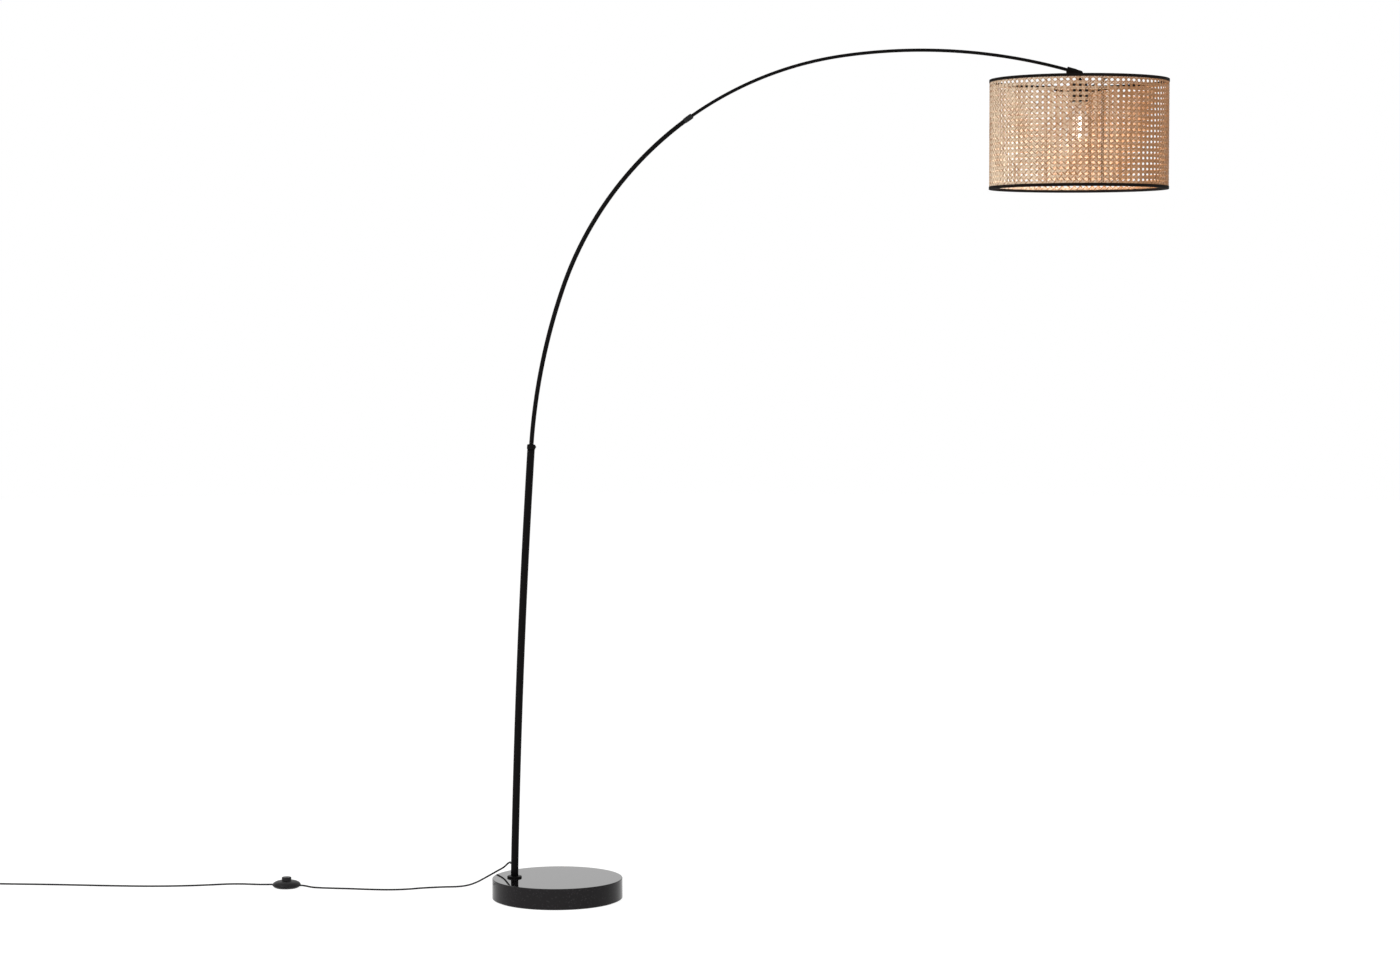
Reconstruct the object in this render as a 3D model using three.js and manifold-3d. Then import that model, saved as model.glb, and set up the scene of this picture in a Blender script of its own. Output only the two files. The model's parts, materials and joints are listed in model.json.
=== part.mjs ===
// An arc floor lamp with a drum shade of woven cane, built as its separate pieces.
// Millimetres, +Z up. The origin is the middle of the underside, and the arm reaches towards +X.
import * as THREE from 'three';
import { mergeVertices, toCreasedNormals } from 'three/addons/utils/BufferGeometryUtils.js';
import Module from 'manifold-3d';

const wasm = await Module();
wasm.setup();

const degree = Math.PI / 180;
const fullTurn = 2 * Math.PI;
const quarterTurn = Math.PI / 2;

// Clearances
const fitGap = 0.3;
const cutOverrun = 2;
const creaseAngle = 30 * degree;

// Facets
const baseSides = 48;
const shadeSides = 48;
const wireSides = 5;
const tubeSides = 10;
const poleSides = 16;
const largeSides = 24;
const collarSides = 20;
const middleSides = 16;
const smallSides = 12;
const cordSides = 8;
const leadSides = 5;
const cornerSteps = 2;
const poleSteps = 9;
const sleeveSteps = 26;
const armSteps = 32;
const lowerLeadKnots = 22;
const lowerLeadSteps = 36;
const upperLeadSteps = 40;
const shoulderSteps = 4;
const bulbNeckSteps = 4;
const bulbGlobeSteps = 7;
const domeSteps = 3;
const springStepsPerTurn = 8;
const cordToSwitchSteps = 40;
const cordToCoilSteps = 34;
const cordTailSteps = 5;

// Base: a polished stone disc on a felt ring
const baseDiameter = 294;
const baseHeight = 48;
const baseTopEdge = 1.8;
const baseChamfer = 1.2;
const feltThickness = 2;
const feltInset = 6;
const boltHoleDiameter = 13;
const boltRecessDiameter = 36;
const boltRecessDepth = 17;

// Foot: a bolt from below pulls the pole down on a rosette
const footOffset = 97;
const footLean = 1.13 * degree;
const rosetteDiameter = 33;
const rosetteHeight = 4;
const rosetteChamfer = 1.2;
const rosetteBore = 14;
const boltDiameter = 10;
const boltHeadWidth = 17;
const boltHeadHeight = 6.4;
const boltReach = 22;
const washerDiameter = 24;
const washerThickness = 2;
const lockWasherDiameter = 18;
const lockWasherThickness = 2.2;
const footPlugLength = 18;
const footPlugChamfer = 1;

// The lamp's centre line: the pole's slight bow, then three bends, each with its own radius
const poleLength = 969;
const poleBow = 2.48 * degree;
const lowerBendLength = 369;
const lowerBendRadius = 1374;
const slideBendLength = 854;
const slideBendRadius = 778;
const outerBendLength = 516;
const outerBendRadius = 1236;

// Tubes
const poleDiameter = 17;
const poleWall = 1.5;
const sleeveDiameter = 10.2;
const sleeveWall = 0.8;
const armDiameter = 7.4;
const armWall = 1;

// Collar on the pole's top, which grips the sleeve arc with a grub screw
const poleCollarDiameter = 19;
const poleCollarHeight = 11;
const poleCollarChamfer = 1.6;
const poleCollarPlug = 34;
const sleeveDepth = 32;
const grubDiameter = 4.4;
const grubProud = 1.4;

// Reach: the arm slides in the sleeve arc and a twist collar holds it
const sleeveSlideRun = 480;
const armOverlap = 240;
const reachCollarDiameter = 12.3;
const reachCollarBelow = 13;
const reachCollarAbove = 8.6;
const reachCollarTaper = 5;
const reachCollarMouth = 11.2;
const reachCollarChamfer = 0.9;
const reachCollarLip = 1.5;
const guideLength = 6;
const guideSpigot = 9;
const leadDiameter = 2.4;

// Knuckle at the arm's end
const knuckleDiameter = 14.4;
const knuckleWidth = 13.2;
const knuckleSocketDepth = 13;
const knuckleChamfer = 0.9;
const pivotReach = 16;
const pivotDiameter = 5;
const slotDepth = 8;
const tongueThickness = 4.2;
const tongueWidth = 9;
const frictionWasherThickness = 0.8;
const frictionWasherDiameter = 12;
const pivotHeadDiameter = 9;
const pivotHeadHeight = 2.8;
const pivotNutWidth = 8;
const pivotNutHeight = 4;
const stemTop = 9.5;
const stemDiameter = 9;
const stemFlangeTop = 13;
const stemFlangeDiameter = 15;
const stemFlangeHeight = 2.5;
const nippleDiameter = 9.6;
const nippleLength = 8.5;

// Lampholder
const holderCapHeight = 20;
const holderCapDiameter = 37;
const holderCapTopDiameter = 19;
const holderCapShoulder = 9;
const holderWall = 2.1;
const holderFlangeDiameter = 44;
const holderFlangeHeight = 3;
const holderSkirtDiameter = 39;
const holderSkirtLength = 27;
const holderBore = 29.2;
const insertHeight = 10;
const lampShellDiameter = 28.4;
const lampShellWall = 0.4;
const lampShellLength = 24;
const contactDiameter = 8;
const contactHeight = 2;
const shadeNutDiameter = 49;
const shadeNutHeight = 8;
const shadeNutChamfer = 1;

// Bulb
const lampCapDiameter = 26.4;
const lampCapLength = 24;
const lampCapWall = 0.5;
const lampTipDiameter = 9;
const lampTipHeight = 2;
const bulbDiameter = 60;
const bulbNeckDiameter = 24.6;
const bulbNeckOverlap = 3.4;
const bulbLength = 81;
const bulbWall = 0.9;
const bulbFilletRadius = 34;
const bulbStemFlange = 21.4;
const bulbStemDiameter = 8;
const bulbStemTipDiameter = 3.6;
const bulbStemLength = 30;
const bulbStemFlangeHeight = 1.4;
const filamentDiameter = 2;
const filamentLength = 36;
const filamentCircle = 10;
const filamentHubDiameter = 13;
const filamentHubThickness = 1;
const filamentCount = 4;

// Shade: woven cane on two wire rings, bound with tape at both edges
const shadeDiameter = 400;
const shadeHeight = 244;
const shadeDrop = 14.2;
const caneThickness = 1.6;
const caneRows = 4;
const caneOpeningWidthShare = 0.88;
const caneOpeningHeightShare = 0.55;
const tapeThickness = 0.7;
const tapeWidth = 6.6;
const ringWireDiameter = 4;
const spokeDiameter = 3.6;
const spokeCount = 3;
const spokeTurn = 45 * degree;
const hubDiameter = 54;
const hubThickness = 2.4;
const hubBore = 40.2;

// Cord, its strain relief and its foot switch
const cordDiameter = 4;
const cordExitHeight = 28;
const cordExitTurn = 108 * degree;
const reliefLength = 22;
const reliefRootDiameter = 8;
const reliefTipDiameter = 5.4;
const reliefFlangeDiameter = 10.6;
const reliefFlangeHeight = 1.5;
const reliefNeckDiameter = 7.2;
const reliefInnerEnd = 4.4;
const leadBend = 9;
const leadLift = 26;
const leadSlack = 3;
const switchX = -630;
const switchY = 137;
const switchTurn = -10 * degree;
const switchDiameter = 65.6;
const switchHeight = 16.4;
const switchWall = 1.7;
const switchFootDiameter = 50;
const switchSplit = 6;
const switchButtonDiameter = 22;
const switchButtonTop = 24.5;
const switchButtonEdge = 1.4;
const switchButtonWall = 1.8;
const switchButtonRim = 26;
const switchButtonRimHeight = 1.6;
const switchSpringDiameter = 13;
const switchSpringWire = 1.2;
const switchSpringTurns = 5;
const switchBlockLength = 34;
const switchBlockWidth = 15;
const switchBlockHeight = 3;
const cordEntry = 29;

// Coil of the cord that is put away, its tie and its plug
const coilX = -1372;
const coilEntryY = 171;
const coilOuterRadius = 30.5;
const coilGap = 0.6;
const coilTurnsPerLayer = 3;
const coilClimbTurns = 0.5;
const coilStepsPerTurn = 24;
const coilSamplesPerStep = 4;
const coilSides = 6;
const tieThickness = 0.8;
const tieWidth = 8;
const tieTurnShare = 0.25;
const plugX = -1425;
const plugY = 164;
const plugTurn = 186 * degree;
const plugLength = 35;
const plugTailWidth = 9;
const plugNeckWidth = 11;
const plugFaceWidth = 35;
const plugThickness = 13.6;
const plugEdge = 1.6;
const plugNeckShare = 0.26;
const plugShoulderShare = 0.62;
const pinDiameter = 4;
const pinLength = 19;
const pinSpacing = 18.6;
const pinChamfer = 0.8;

// The cord's route over the base and along the floor to the switch, and from the switch to the coil.
// The points are chosen by hand; each run's ends follow the piece that it meets.
const cordToSwitchPoints = [
  [-109.5, 40.5, 75.6], [-115.5, 50.5, 70.5], [-124.5, 56.5, 61.6], [-140.2, 58, 52.2],
  [-156, 61, 42.8], [-172.5, 79, 31], [-192, 104, 17.5], [-212, 122, 8], [-232, 132, 3.4],
  [-270, 132, 2.1], [-315, 120, 2.05], [-352, 104, 2.05], [-388, 98, 2.05], [-435, 102, 2.05],
  [-482, 111, 2.05], [-525, 117.5, 2.05], [-552, 122, 2.2], [-571, 126.4, 2.9], [-584, 128.9, 4.9],
];
const cordToCoilPoints = [
  [-675.5, 145, 5.6], [-692, 151, 4.5], [-712, 162, 3], [-737, 170.5, 2.15], [-770, 170, 2.05],
  [-805, 161, 2.05], [-860, 149, 2.05], [-940, 143, 2.05], [-1030, 148, 2.05], [-1120, 158, 2.05],
  [-1200, 166, 2.05], [-1270, 170, 2.2], [-1330, 171, 2.9], [-1350, 171, 3.1],
];

// Materials, as the photograph shows them
function finish(color, roughness, metalness) {
  return new THREE.MeshStandardMaterial({ color, roughness, metalness });
}
const blackLacquer = finish('#151415', 0.22, 0.2);
const blackPlastic = finish('#1b1a1b', 0.4, 0);
const softBlack = finish('#202021', 0.6, 0);
const polishedStone = finish('#262426', 0.08, 0);
const felt = finish('#2b2b2b', 0.95, 0);
const steel = finish('#9a9a98', 0.35, 0.9);
const brass = finish('#b08d4c', 0.35, 0.9);
const nylon = finish('#d9d5c8', 0.5, 0);
const ceramic = finish('#e6e1d6', 0.35, 0);
const clearGlass = finish('#f4f1ea', 0.05, 0);
const amber = finish('#f0b458', 0.5, 0);
const cane = finish('#d9b28c', 0.65, 0);
const blackTape = finish('#17130f', 0.8, 0);

// A ring of corners about the middle of a section
function circle(radius, sides) {
  return Array.from({ length: sides }, (_, i) => {
    const angle = (fullTurn * i) / sides;
    return new THREE.Vector2(radius * Math.cos(angle), radius * Math.sin(angle));
  });
}

// Points of a profile along an arc, as [radius, height]
function arcPoints(radius, height, bend, from, to, steps) {
  return Array.from({ length: steps + 1 }, (_, i) => {
    const angle = from + ((to - from) * i) / steps;
    return [radius + bend * Math.cos(angle), height + bend * Math.sin(angle)];
  });
}

// Turns a profile of [radius, height] points about +Z. A profile off the axis is closed on itself.
function turned(profile, sides) {
  const points = profile.map(([radius, height]) => new THREE.Vector2(radius, height));
  if (profile[0][0] > 0) points.push(points[0].clone());
  return new THREE.LatheGeometry(points, sides).rotateX(quarterTurn);
}

// A tube or a bar along a path
function swept(path, outerRadius, boreRadius, sides, steps) {
  const section = new THREE.Shape(circle(outerRadius, sides));
  if (boreRadius > 0) section.holes.push(new THREE.Path(circle(boreRadius, sides)));
  return new THREE.ExtrudeGeometry(section, { steps, extrudePath: path });
}

// A cylinder along +Z between two heights
function rod(radius, from, to, sides) {
  return new THREE.CylinderGeometry(radius, radius, to - from, sides)
    .rotateX(quarterTurn).translate(0, 0, (from + to) / 2);
}

// A box between two corners
function block(low, high) {
  const size = high.map((value, i) => value - low[i]);
  const middle = high.map((value, i) => (value + low[i]) / 2);
  return new THREE.BoxGeometry(...size).translate(...middle);
}

// A hexagonal bar along +Z, given its width across flats
function hexBar(width, from, to) {
  return rod(width / Math.sqrt(3), from, to, 6);
}

// Gives a geometry shared corners, no empty triangles, and faces that point out
function closed(geometry) {
  const bare = geometry.clone();
  bare.deleteAttribute('normal');
  bare.deleteAttribute('uv');
  const merged = mergeVertices(bare);
  const corners = merged.attributes.position;
  const [a, b, c] = [new THREE.Vector3(), new THREE.Vector3(), new THREE.Vector3()];
  const kept = [];
  let volume = 0;
  for (let i = 0; i < merged.index.count; i += 3) {
    const [p, q, r] = [0, 1, 2].map((k) => merged.index.getX(i + k));
    if (p === q || q === r || r === p) continue;
    kept.push([p, q, r]);
    a.fromBufferAttribute(corners, p);
    b.fromBufferAttribute(corners, q);
    c.fromBufferAttribute(corners, r);
    volume += a.dot(b.cross(c));
  }
  const outward = volume > 0 ? kept : kept.map(([p, q, r]) => [p, r, q]);
  merged.setIndex(outward.flat());
  return merged;
}

function solidOf(geometry) {
  const whole = closed(geometry);
  return new wasm.Manifold(new wasm.Mesh({
    numProp: 3,
    vertProperties: new Float32Array(whole.attributes.position.array),
    triVerts: new Uint32Array(whole.index.array),
  }));
}

function geometryOf(solid) {
  const mesh = solid.getMesh();
  const geometry = new THREE.BufferGeometry();
  geometry.setAttribute('position', new THREE.BufferAttribute(mesh.vertProperties, 3));
  geometry.setIndex(new THREE.BufferAttribute(mesh.triVerts, 1));
  return geometry;
}

function cut(body, ...tools) {
  return geometryOf(tools.reduce((rest, tool) => rest.subtract(solidOf(tool)), solidOf(body)));
}

function joined(body, ...others) {
  return geometryOf(others.reduce((whole, other) => whole.add(solidOf(other)), solidOf(body)));
}

function common(body, other) {
  return geometryOf(solidOf(body).intersect(solidOf(other)));
}

function piece(name, geometry, material) {
  const mesh = new THREE.Mesh(toCreasedNormals(closed(geometry), creaseAngle), material);
  mesh.name = name;
  return mesh;
}

// The point and heading after a run along a bend. A heading is the angle from +Z towards +X.
function bendCentre(start, radius) {
  return {
    x: start.x + radius * Math.cos(start.heading),
    z: start.z - radius * Math.sin(start.heading),
  };
}

function bendAt(start, radius, run) {
  const centre = bendCentre(start, radius);
  const heading = start.heading + run / radius;
  return {
    x: centre.x - radius * Math.cos(heading),
    z: centre.z + radius * Math.sin(heading),
    heading,
  };
}

const bends = [
  { length: poleLength, radius: poleLength / poleBow },
  { length: lowerBendLength, radius: lowerBendRadius },
  { length: slideBendLength, radius: slideBendRadius },
  { length: outerBendLength, radius: outerBendRadius },
];

// The point and heading on the lamp's centre line, at a distance from the pole's foot
function lineAt(distance) {
  let point = { x: -footOffset, z: baseHeight, heading: footLean };
  let left = distance;
  for (const bend of bends) {
    point = bendAt(point, bend.radius, Math.min(left, bend.length));
    left -= bend.length;
    if (left <= 0) break;
  }
  return point;
}

class CentreLine extends THREE.Curve {
  constructor(from, to) {
    super();
    this.from = from;
    this.to = to;
  }

  getPoint(share, target = new THREE.Vector3()) {
    const point = lineAt(this.from + (this.to - this.from) * share);
    return target.set(point.x, 0, point.z);
  }
}

// A group whose +Z runs along the centre line at a distance from the foot
function groupOnLine(distance) {
  const point = lineAt(distance);
  const group = new THREE.Group();
  group.position.set(point.x, 0, point.z);
  group.rotation.y = point.heading;
  return group;
}

// Places along the centre line
const slideStart = poleLength + lowerBendLength;
const reachCollarAt = slideStart + sleeveSlideRun;
const armInnerEndAt = reachCollarAt - armOverlap;
const armOuterEndAt = slideStart + slideBendLength + outerBendLength;

// Sizes that more than one piece follows
const poleRadius = poleDiameter / 2;
const poleBoreRadius = poleRadius - poleWall;
const sleeveRadius = sleeveDiameter / 2;
const sleeveBoreRadius = sleeveRadius - sleeveWall;
const armRadius = armDiameter / 2;
const armBoreRadius = armRadius - armWall;
const leadRadius = leadDiameter / 2;
const pivotRadius = pivotDiameter / 2;
const cordRadius = cordDiameter / 2;
const leadBoreRadius = leadRadius + 2 * fitGap;

function makeBase() {
  const radius = baseDiameter / 2;
  const stoneProfile = [
    [0, feltThickness],
    [radius - baseChamfer, feltThickness],
    [radius, feltThickness + baseChamfer],
    ...arcPoints(radius - baseTopEdge, baseHeight - baseTopEdge, baseTopEdge, 0, quarterTurn, cornerSteps),
    [0, baseHeight],
  ];
  const boltHole = rod(boltHoleDiameter / 2, 0, baseHeight + cutOverrun, middleSides);
  const recessTop = feltThickness + boltRecessDepth;
  const recess = rod(boltRecessDiameter / 2, feltThickness - cutOverrun, recessTop, middleSides);
  const stone = cut(
    turned(stoneProfile, baseSides),
    boltHole.translate(-footOffset, 0, 0),
    recess.translate(-footOffset, 0, 0),
  );
  const feltDisc = rod(radius - feltInset, 0, feltThickness, baseSides);
  const feltHole = rod(boltRecessDiameter / 2, -cutOverrun, feltThickness + cutOverrun, middleSides);
  const base = new THREE.Group();
  base.add(
    piece('base_stone', stone, polishedStone),
    piece('base_felt', cut(feltDisc, feltHole.translate(-footOffset, 0, 0)), felt),
  );
  return base;
}

function washer(outerDiameter, boreRadius, thickness, top) {
  const radius = outerDiameter / 2;
  return turned([
    [boreRadius, top - thickness], [radius, top - thickness], [radius, top], [boreRadius, top],
  ], middleSides);
}

// The bolt and what it pulls together share the pole's lean
function makeFoot() {
  const shankRadius = boltDiameter / 2;
  const boreRadius = shankRadius + fitGap;
  const recessTop = feltThickness + boltRecessDepth - baseHeight;
  const washerTop = recessTop - fitGap - (washerDiameter / 2) * Math.sin(footLean);
  const lockTop = washerTop - washerThickness - fitGap;
  const headTop = lockTop - lockWasherThickness - fitGap;
  const plugBottom = rosetteHeight + 2 * fitGap;
  const plugTop = plugBottom + footPlugLength;
  const plugRadius = poleBoreRadius - fitGap;
  const plugProfile = [
    [boreRadius, plugBottom], [plugRadius, plugBottom], [plugRadius, plugTop - footPlugChamfer],
    [plugRadius - footPlugChamfer, plugTop], [boreRadius, plugTop],
  ];
  const bolt = joined(
    hexBar(boltHeadWidth, headTop - boltHeadHeight, headTop),
    rod(shankRadius, headTop - boltHeadHeight / 2, boltReach, smallSides),
  );
  const leaning = new THREE.Group();
  leaning.rotation.y = footLean;
  leaning.add(
    piece('base_bolt', bolt, steel),
    piece('base_washer', washer(washerDiameter, boreRadius, washerThickness, washerTop), steel),
    piece('base_lock_washer', washer(lockWasherDiameter, boreRadius, lockWasherThickness, lockTop), steel),
    piece('foot_plug', turned(plugProfile, smallSides), steel),
  );
  const rosetteRadius = rosetteDiameter / 2;
  const rosetteProfile = [
    [rosetteBore / 2, 0], [rosetteRadius, 0], [rosetteRadius, rosetteHeight - rosetteChamfer],
    [rosetteRadius - rosetteChamfer, rosetteHeight], [rosetteBore / 2, rosetteHeight],
  ];
  const foot = new THREE.Group();
  foot.position.set(-footOffset, 0, baseHeight);
  foot.add(leaning, piece('foot_rosette', turned(rosetteProfile, largeSides), blackLacquer));
  return foot;
}

// Where the cord leaves the pole, and which way
const exitPoint = lineAt(cordExitHeight);
const exitAxis = new THREE.Vector3(Math.cos(cordExitTurn), Math.sin(cordExitTurn), 0);
const reliefFlangeAt = poleRadius + fitGap;
const reliefRootAt = reliefFlangeAt + reliefFlangeHeight;
const reliefTipAt = reliefRootAt + reliefLength;

function fromPoleAxis(distance, height = 0) {
  return new THREE.Vector3(exitPoint.x, 0, exitPoint.z + height).addScaledVector(exitAxis, distance);
}

function alongExit(geometry) {
  return geometry.rotateY(quarterTurn).rotateZ(cordExitTurn).translate(exitPoint.x, 0, exitPoint.z);
}

function makePole() {
  const poleStart = rosetteHeight + fitGap;
  const path = new CentreLine(poleStart, poleLength);
  const tube = swept(path, poleRadius, poleBoreRadius, poleSides, poleSteps);
  const neckHole = rod(reliefNeckDiameter / 2 + fitGap, 0, poleRadius + cutOverrun, smallSides);
  const reliefProfile = [
    [0, reliefInnerEnd],
    [reliefNeckDiameter / 2, reliefInnerEnd],
    [reliefNeckDiameter / 2, reliefFlangeAt],
    [reliefFlangeDiameter / 2, reliefFlangeAt],
    [reliefFlangeDiameter / 2, reliefRootAt],
    [reliefRootDiameter / 2, reliefRootAt],
    [reliefTipDiameter / 2, reliefTipAt],
    [0, reliefTipAt],
  ];
  const pole = new THREE.Group();
  pole.add(
    piece('pole_tube', cut(tube, alongExit(neckHole)), blackLacquer),
    piece('cord_relief', alongExit(turned(reliefProfile, smallSides)), softBlack),
  );
  return pole;
}

function makePoleTop() {
  const boreRadius = sleeveRadius + fitGap;
  const flangeRadius = poleCollarDiameter / 2;
  const plugRadius = poleBoreRadius - fitGap;
  const profile = [
    [boreRadius, -poleCollarPlug], [plugRadius, -poleCollarPlug], [plugRadius, fitGap],
    [flangeRadius, fitGap], [flangeRadius, poleCollarHeight - poleCollarChamfer],
    [flangeRadius - poleCollarChamfer, poleCollarHeight], [boreRadius, poleCollarHeight],
  ];
  const grubRadius = grubDiameter / 2;
  const grubHeight = poleCollarHeight / 2;
  const grubHole = rod(grubRadius + fitGap, 0, flangeRadius + cutOverrun, smallSides)
    .rotateY(quarterTurn).translate(0, 0, grubHeight);
  const grub = rod(grubRadius, boreRadius, flangeRadius + grubProud, smallSides)
    .rotateY(quarterTurn).translate(0, 0, grubHeight);
  const group = groupOnLine(poleLength);
  group.add(
    piece('pole_collar', cut(turned(profile, collarSides), grubHole), blackLacquer),
    piece('pole_grub_screw', grub, blackLacquer),
  );
  return group;
}

function makeSleeveArc() {
  const path = new CentreLine(poleLength - sleeveDepth, reachCollarAt);
  const tube = swept(path, sleeveRadius, sleeveBoreRadius, tubeSides, sleeveSteps);
  return piece('sleeve_arc', tube, blackLacquer);
}

function makeReachCollar() {
  const radius = reachCollarDiameter / 2;
  const boreRadius = sleeveRadius + fitGap;
  const lipRadius = armRadius + fitGap;
  const lipBottom = reachCollarAbove - reachCollarLip;
  const profile = [
    [boreRadius, -reachCollarBelow],
    [reachCollarMouth / 2, -reachCollarBelow],
    [radius, -reachCollarBelow + reachCollarTaper],
    [radius, reachCollarAbove - reachCollarChamfer],
    [radius - reachCollarChamfer, reachCollarAbove],
    [lipRadius, reachCollarAbove],
    [lipRadius, lipBottom],
    [boreRadius, lipBottom],
  ];
  const bushProfile = [
    [lipRadius, fitGap], [sleeveRadius, fitGap], [sleeveRadius, lipBottom - fitGap],
    [lipRadius, lipBottom - fitGap],
  ];
  const group = groupOnLine(reachCollarAt);
  group.add(
    piece('reach_collar', turned(profile, collarSides), softBlack),
    piece('reach_bush', turned(bushProfile, middleSides), nylon),
  );
  return group;
}

function makeUpperArc() {
  const path = new CentreLine(armInnerEndAt, armOuterEndAt);
  const shoulderRadius = sleeveBoreRadius * Math.cos(Math.PI / tubeSides) - fitGap;
  const spigotRadius = armBoreRadius * Math.cos(Math.PI / tubeSides) - fitGap;
  const guideProfile = [
    [leadBoreRadius, -guideLength], [shoulderRadius, -guideLength], [shoulderRadius, -fitGap],
    [spigotRadius, -fitGap], [spigotRadius, guideSpigot], [leadBoreRadius, guideSpigot],
  ];
  const guide = groupOnLine(armInnerEndAt);
  guide.add(piece('arm_guide', turned(guideProfile, tubeSides), nylon));
  const arm = new THREE.Group();
  arm.add(
    piece('upper_arc', swept(path, armRadius, armBoreRadius, tubeSides, armSteps), blackLacquer),
    guide,
  );
  return arm;
}

// The lead's lower half starts at the strain relief and climbs the pole and the sleeve arc.
// Its upper half runs on through the arm to the knuckle.
function makeLeads() {
  const start = fromPoleAxis(reliefInnerEnd - fitGap);
  const bend = fromPoleAxis(reliefInnerEnd - leadBend, leadBend);
  const from = cordExitHeight + leadLift;
  const to = armInnerEndAt - guideLength - leadSlack;
  const climb = Array.from({ length: lowerLeadKnots }, (_, i) => {
    const point = lineAt(from + ((to - from) * i) / (lowerLeadKnots - 1));
    return new THREE.Vector3(point.x, 0, point.z);
  });
  const lower = new THREE.CatmullRomCurve3([start, fromPoleAxis(0, leadRadius), bend, ...climb]);
  const upper = new CentreLine(armInnerEndAt - guideLength, armOuterEndAt - leadSlack);
  const leads = new THREE.Group();
  leads.add(
    piece('lead_lower', swept(lower, leadRadius, 0, leadSides, lowerLeadSteps), softBlack),
    piece('lead_upper', swept(upper, leadRadius, 0, leadSides, upperLeadSteps), softBlack),
  );
  return leads;
}

const earFace = knuckleWidth / 2;
const washerInner = tongueThickness / 2 + fitGap;
const slotHalfWidth = washerInner + frictionWasherThickness + fitGap;
const pivotHoleRadius = pivotRadius + fitGap;
const knuckleRadius = knuckleDiameter / 2;

// Lays a piece that was made along +Z across the lamp, along +Y
function across(geometry) {
  return geometry.rotateX(-quarterTurn);
}

function makeKnuckle() {
  const end = pivotReach + knuckleRadius;
  const socketRadius = armRadius + fitGap;
  const profile = [
    [leadBoreRadius, fitGap],
    [socketRadius, fitGap],
    [socketRadius, -knuckleSocketDepth],
    [knuckleRadius - knuckleChamfer, -knuckleSocketDepth],
    [knuckleRadius, -knuckleSocketDepth + knuckleChamfer],
    [knuckleRadius, end],
    [leadBoreRadius, end],
  ];
  const rounded = joined(
    block([-knuckleRadius, -earFace, -knuckleSocketDepth], [knuckleRadius, earFace, pivotReach]),
    across(rod(knuckleRadius, -earFace, earFace, largeSides)).translate(0, 0, pivotReach),
  );
  const slot = block(
    [-knuckleDiameter, -slotHalfWidth, pivotReach - slotDepth],
    [knuckleDiameter, slotHalfWidth, end + cutOverrun],
  );
  const hole = across(rod(pivotHoleRadius, -knuckleDiameter, knuckleDiameter, smallSides));
  const body = cut(
    common(turned(profile, largeSides), rounded), slot, hole.translate(0, 0, pivotReach),
  );
  const headFace = -earFace - fitGap;
  const nutFace = earFace + fitGap;
  const nutEnd = nutFace + pivotNutHeight;
  const screw = joined(
    rod(pivotHeadDiameter / 2, headFace - pivotHeadHeight, headFace, middleSides),
    rod(pivotRadius, headFace - pivotHeadHeight / 2, nutEnd, smallSides),
  );
  const nutHole = rod(pivotHoleRadius, nutFace - cutOverrun, nutEnd + cutOverrun, smallSides);
  const nut = cut(hexBar(pivotNutWidth, nutFace, nutEnd), nutHole);
  const washerTops = [washerInner + frictionWasherThickness, -washerInner];
  const [farWasher, nearWasher] = washerTops.map((top) => across(
    washer(frictionWasherDiameter, pivotHoleRadius, frictionWasherThickness, top),
  ));
  const pins = new THREE.Group();
  pins.position.z = pivotReach;
  pins.add(
    piece('pivot_screw', across(screw), blackLacquer),
    piece('pivot_nut', across(nut), blackLacquer),
    piece('pivot_washer_far', farWasher, nylon),
    piece('pivot_washer_near', nearWasher, nylon),
  );
  const group = groupOnLine(armOuterEndAt);
  group.add(piece('arm_knuckle', body, blackLacquer), pins);
  return group;
}

// Everything that tilts with the shade is placed down from the pivot
const capTop = -stemFlangeTop - stemFlangeHeight - fitGap;
const capBottom = capTop - holderCapHeight;
const bodyTop = capBottom - fitGap;
const flangeBottom = bodyTop - holderFlangeHeight;
const hubTop = flangeBottom - fitGap;
const hubBottom = hubTop - hubThickness;
const nutTop = hubBottom - fitGap;
const skirtBottom = bodyTop - holderSkirtLength;
const insertBottom = capBottom + fitGap;
const contactTop = insertBottom - fitGap;
const lampTipTop = contactTop - contactHeight - fitGap;
const lampCapTop = lampTipTop - lampTipHeight;
const lampCapBottom = lampCapTop - lampCapLength;

function makeSwivel() {
  const half = tongueThickness / 2;
  const flangeBottomHeight = -stemFlangeTop - stemFlangeHeight;
  const nippleEnd = flangeBottomHeight - nippleLength;
  const stemProfile = [
    [0, -stemTop], [stemDiameter / 2, -stemTop], [stemDiameter / 2, -stemFlangeTop],
    [stemFlangeDiameter / 2, -stemFlangeTop], [stemFlangeDiameter / 2, flangeBottomHeight],
    [nippleDiameter / 2, flangeBottomHeight], [nippleDiameter / 2, nippleEnd], [0, nippleEnd],
  ];
  const tongue = block([-tongueWidth / 2, -half, -stemTop - half], [tongueWidth / 2, half, 0]);
  const eye = across(rod(frictionWasherDiameter / 2, -half, half, middleSides));
  const pivotHole = across(rod(pivotHoleRadius, -tongueThickness, tongueThickness, smallSides));
  const leadHole = rod(leadBoreRadius, nippleEnd - cutOverrun, -stemTop, leadSides + 1);
  const body = cut(joined(turned(stemProfile, middleSides), tongue, eye), pivotHole, leadHole);
  return piece('shade_swivel', body, blackLacquer);
}

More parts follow.
